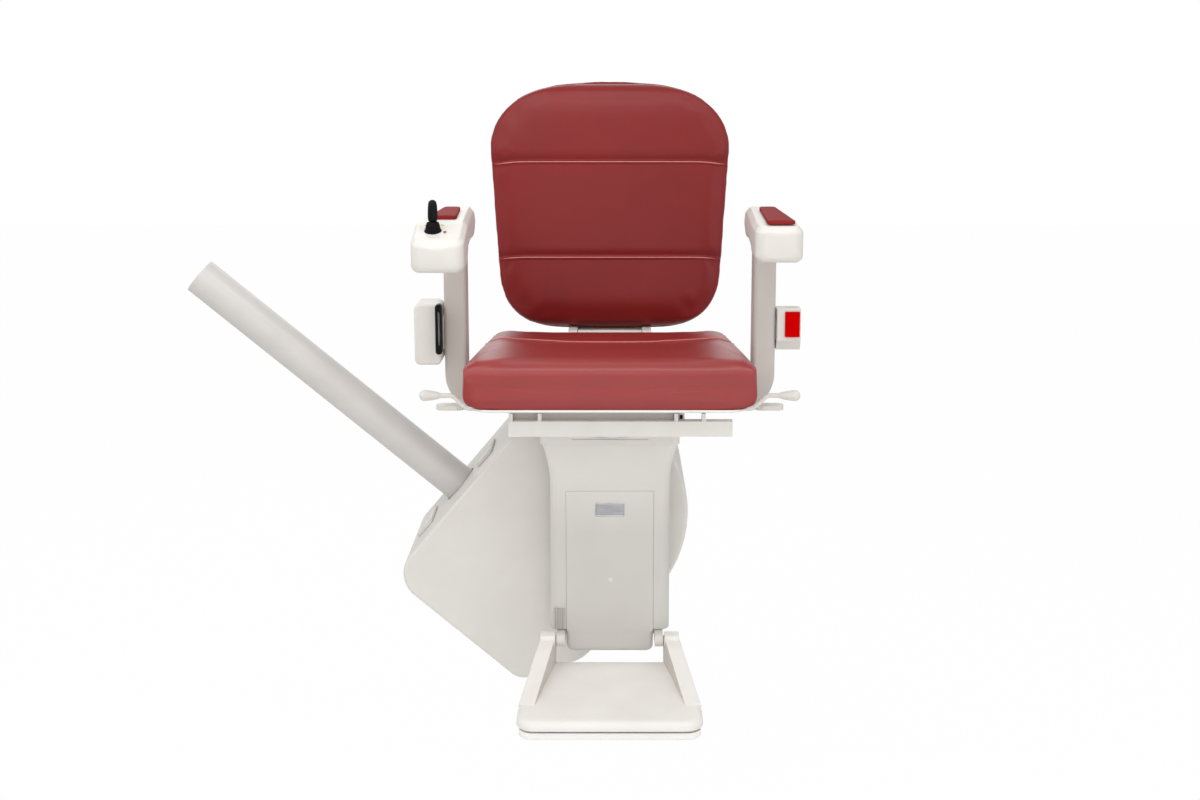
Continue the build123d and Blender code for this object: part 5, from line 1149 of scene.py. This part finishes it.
rim = skin("metal_plate_rim", [plate_ring(inset, PLATE_Y + out) for inset, out in RIM], steel)
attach(rim, "column")
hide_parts("name_plate")
field = skin("metal_plate_field",
             [plate_ring(inset, PLATE_Y + out) for inset, out in FIELD], brushed)
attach(field, "column")
print("plate made")

# %% [markdown]
# ## The footrest's arms
#
# Two folded-plate arms run from the hinge down to the footplate and die away flush into its top.
# At the top of each sits a square hinge block with the end of its pin.

# %% Footrest arms, hinge blocks and pins
shaded_coat = finish("powder_coat_shaded", (204, 198, 191), (196, 190, 183), 14, (0.42, 0.54),
                     420, (0.10, 0.0004))
# along the arm: from the hinge to the point where its top meets the plate's
STRUT_BACK, STRUT_LONG = -54, 171
# across and up: at the hinge, and the change down to the plate
STRUT_IN, STRUT_OUT, STRUT_HIGH, STRUT_LOW = (91, 29.0), (116, 29.6), (77.5, 48.6), 24.0


def gusset(way):
    """Sections along one arm; behind the hinge it ends in a small rounded step."""
    rings = []
    for t in (-0.05, -0.045, -0.03, 0, 0.1, 0.25, 0.4, 0.55, 0.7, 0.82, 0.9, 0.95, 0.98, 1.0):
        run = max(t, 0)
        y = STRUT_BACK - STRUT_LONG * t
        inner, outer = STRUT_IN[0] + STRUT_IN[1] * run, STRUT_OUT[0] + STRUT_OUT[1] * run
        high = STRUT_HIGH[0] - STRUT_HIGH[1] * run - 6 * ease(-t / 0.05)
        low = STRUT_LOW if t >= 0 else STRUT_LOW + 6
        soft = min(2.6, 0.45 * (high - low))
        ring = rounded([(inner, low), (outer, low), (outer, high), (inner, high)],
                       (0.4, 0.4, soft, soft * 0.35), 6)
        rings.append([at(way * p.x, y + 6 * run * (p.x - inner) / 25, p.y) for p in ring])
    return rings


for name, way in (("left", -1), ("right", 1)):
    arm = skin(f"footrest_arm_{name}", gusset(way), coat_with_painted_light, 0.1, 0.1)
    arm.data.materials.append(shaded_coat)
    # the flanks towards the middle stand in each other's shade
    for face in arm.data.polygons:
        if face.normal.x * way < -0.8:
            face.material_index = 1
    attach(arm, "footrest")
    if way < 0:
        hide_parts("footrest_arms")

# the block's front, back, foot and top, and the pin's place and radius
BLOCK, BLOCK_ROUND, PIN_Y, PIN_Z, PIN = (-69, -44.5, 62, 79.5), 1.6, -55, 68, 4.5
for name, way in (("left", -1), ("right", 1)):
    rings = []
    for x, r in ((92.2, 1.2), (92.6, 0.5), (93.4, 0.0), (115.6, 0.0), (116.6, 0.5), (117.1, 1.2)):
        front, back, foot, top = BLOCK[0] + r, BLOCK[1] - r, BLOCK[2] + r, BLOCK[3] - r
        corners = [(front, foot), (back, foot), (back, top), (front, top)]
        rings.append([at(way * x, p.x, p.y) for p in rounded(corners, (BLOCK_ROUND,) * 4, 5)])
    block = skin(f"hinge_block_{name}", rings, coat_with_whiter_painted_light, 0.1, 0.1)
    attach(block, "footrest")
    turns = [a * math.pi / 12 for a in range(24)]
    stub = [[at(way * x, PIN_Y + r * math.cos(a), PIN_Z + r * math.sin(a)) for a in turns]
            for x, r in ((77.5, 3.6), (77.7, 4.1), (78.3, PIN), (93.0, PIN))]
    pin = skin(f"hinge_stub_{name}", stub, coat_with_whiter_painted_light, 0.1, 0.1)
    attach(pin, "footrest")
print("fittings made")

# %% [markdown]
# ## The footplate and its safety pan
#
# The plate is a shallow moulding, broadly rounded along its front. The pan hangs under it and stops
# the chair when it meets something on the stair. It has the plate's outline, so from in front the
# two read as one thick edge with a fine line between them. The pan is right as it was drawn, so
# only the plate is made here, hollow underneath so that the pan can be pressed up into it.


# %% Footplate
FOOT_FRONT, FOOT_WIDE, FOOT_BACK = -285, -221, -47
# half the width at the back, where the sides turn straight, and at the front
HALF_BACK, HALF_WIDE, HALF_FRONT, FOOT_ROUND = 115.5, 146.5, 146, 30
# how far in and how high: the hollow, the lower lip, the rounded edge and the flat top
FOOT_LEVELS = ((60, 19.6), (9, 19.6), (3.6, 19.4), (3.0, 18.6), (2.7, 16.0), (1.5, 14.7),
               (0.6, 14.6), (0.2, 15.0), (0.0, 16.0), (0.1, 17.6), (0.5, 19.6), (1.2, 21.6),
               (2.3, 23.6), (3.8, 25.4), (5.6, 26.8), (7.8, 28.0), (10.4, 28.7), (13.5, 29.0),
               (17, 29.1), (30, 29.1), (60, 29.1))


def footplate_outline(inset):
    """The plate's plan, drawn in by so many mm: it widens with the arms, then runs straight."""
    front, wide, back = FOOT_FRONT + inset, FOOT_WIDE + inset * 0.2, FOOT_BACK - inset
    at_back, at_wide, at_front = HALF_BACK - inset, HALF_WIDE - inset, HALF_FRONT - inset
    corners = [(at_back, back), (-at_back, back), (-at_wide, wide), (-at_front, front),
               (at_front, front), (at_wide, wide)]
    soft = max(6.0, FOOT_ROUND - inset)
    return rounded(corners, (3, 3, 8, soft, soft, 8), 12)


plate = skin("footplate_moulding",
             [[at(p.x, p.y, z) for p in footplate_outline(inset)] for inset, z in FOOT_LEVELS],
             coat_with_painted_light)
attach(plate, "footrest")
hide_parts("footplate")
print("footplate made")

# %% [markdown]
# ## Light and background
#
# A studio for pale products is mostly white walls. Here the world gives an even fill, and six soft
# lamps shape it. The largest stands in front on the left. A long strip above draws the bright line
# along the seat's front roll, a low one lights the column and footrest, one on each side keeps the
# flanks open, and one behind is there for views of the back. The background shows as plain white
# to the camera and in reflections only, so it adds no extra light to the chair. The floor lies well
# below the footrest, because a chair on a stair hangs from its rail and travels down past this
# point.

# %% World, floor and lamps
world = bpy.data.worlds.new("studio")
bpy.context.scene.world = world
world.use_nodes = True
tree = world.node_tree
tree.nodes.clear()
ray = add(tree, "ShaderNodeLightPath").outputs
either = add(tree, "ShaderNodeMath", {0: ray["Is Glossy Ray"], 1: ray["Is Transmission Ray"]},
             operation="MAXIMUM")
seen = add(tree, "ShaderNodeMath", {0: ray["Is Camera Ray"], 1: either.outputs[0]},
           operation="MAXIMUM")
fill = add(tree, "ShaderNodeBackground", {"Color": (1, 0.998, 0.992, 1), "Strength": 0.50})
white = add(tree, "ShaderNodeBackground", {"Color": (1, 1, 1, 1), "Strength": 1.0})
blend = add(tree, "ShaderNodeMixShader",
            {0: seen.outputs[0], 1: fill.outputs[0], 2: white.outputs[0]})
add(tree, "ShaderNodeOutputWorld", {"Surface": blend.outputs[0]})

# the camera sees the floor as almost pure white
FLOOR_SEEN, FLOOR_Z = 0.985, -330
floor_material, tree, shader = blank("studio_floor")
shader.inputs["Base Color"].default_value = (0.9, 0.9, 0.9, 1)
shader.inputs["Roughness"].default_value = 0.8
glow = add(tree, "ShaderNodeEmission", {"Color": (1, 1, 1, 1), "Strength": 1.0})
ray = add(tree, "ShaderNodeLightPath").outputs
share = add(tree, "ShaderNodeMath", {0: ray["Is Camera Ray"], 1: FLOOR_SEEN},
            operation="MULTIPLY")
blend = add(tree, "ShaderNodeMixShader",
            {0: share.outputs[0], 1: shader.outputs[0], 2: glow.outputs[0]})
tree.links.new(blend.outputs[0], tree.nodes["Material Output"].inputs["Surface"])

drop = at(0, 0, FLOOR_Z).z
floor = new_piece("studio_floor", [(-9, -9, drop), (9, -9, drop), (9, 9, drop), (-9, 9, drop)],
                  [(0, 1, 2, 3)], floor_material)
floor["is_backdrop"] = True


def lamp(name, place, target, size, power, colour=(1, 1, 1)):
    """A rectangular soft lamp at a place, turned towards a target."""
    light = bpy.data.lights.new(name, "AREA")
    light.shape = "RECTANGLE"
    light.size, light.size_y = size
    light.energy = power
    light.color = colour
    made = bpy.data.objects.new(name, light)
    made.location = place
    made.rotation_euler = (target - place).to_track_quat("-Z", "Y").to_euler()
    bpy.context.collection.objects.link(made)


lamp("key", at(-700, -2300, 2300), at(0, 0, 500), (2.6, 1.8), 21.5, (1, 0.99, 0.975))
lamp("strip", at(0, -650, 2000), at(0, -190, 550), (2.8, 0.16), 13, (1, 0.99, 0.98))
lamp("low", at(300, -2000, 300), at(0, 0, 350), (1.8, 1.0), 5.5, (1, 0.99, 0.98))
lamp("side", at(2300, -1500, 1300), at(0, 0, 500), (1.6, 2.2), 12, (1, 0.99, 0.985))
lamp("left", at(-2000, -500, 1500), at(-150, 60, 300), (1.4, 1.4), 8, (1, 0.99, 0.985))
lamp("back", at(-600, 2200, 2000), at(0, 200, 600), (2.0, 1.6), 10)
bpy.context.scene.view_settings.view_transform = "Standard"
print("studio ready")

# %% [markdown]
# ## The size of the dressed chair
#
# The dressed chair may stand proud of the drawn one only by what padding does. Both boxes are
# printed side by side, so a piece in the wrong place shows at once.

# %% Print both boxes
visual_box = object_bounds()
boxes = {"cad": [list(map(float, corner)) for corner in solid_box],
         "visual": [list(map(float, corner)) for corner in visual_box]}
for name, box in boxes.items():
    print(name, [[round(v, 4) for v in corner] for corner in box])
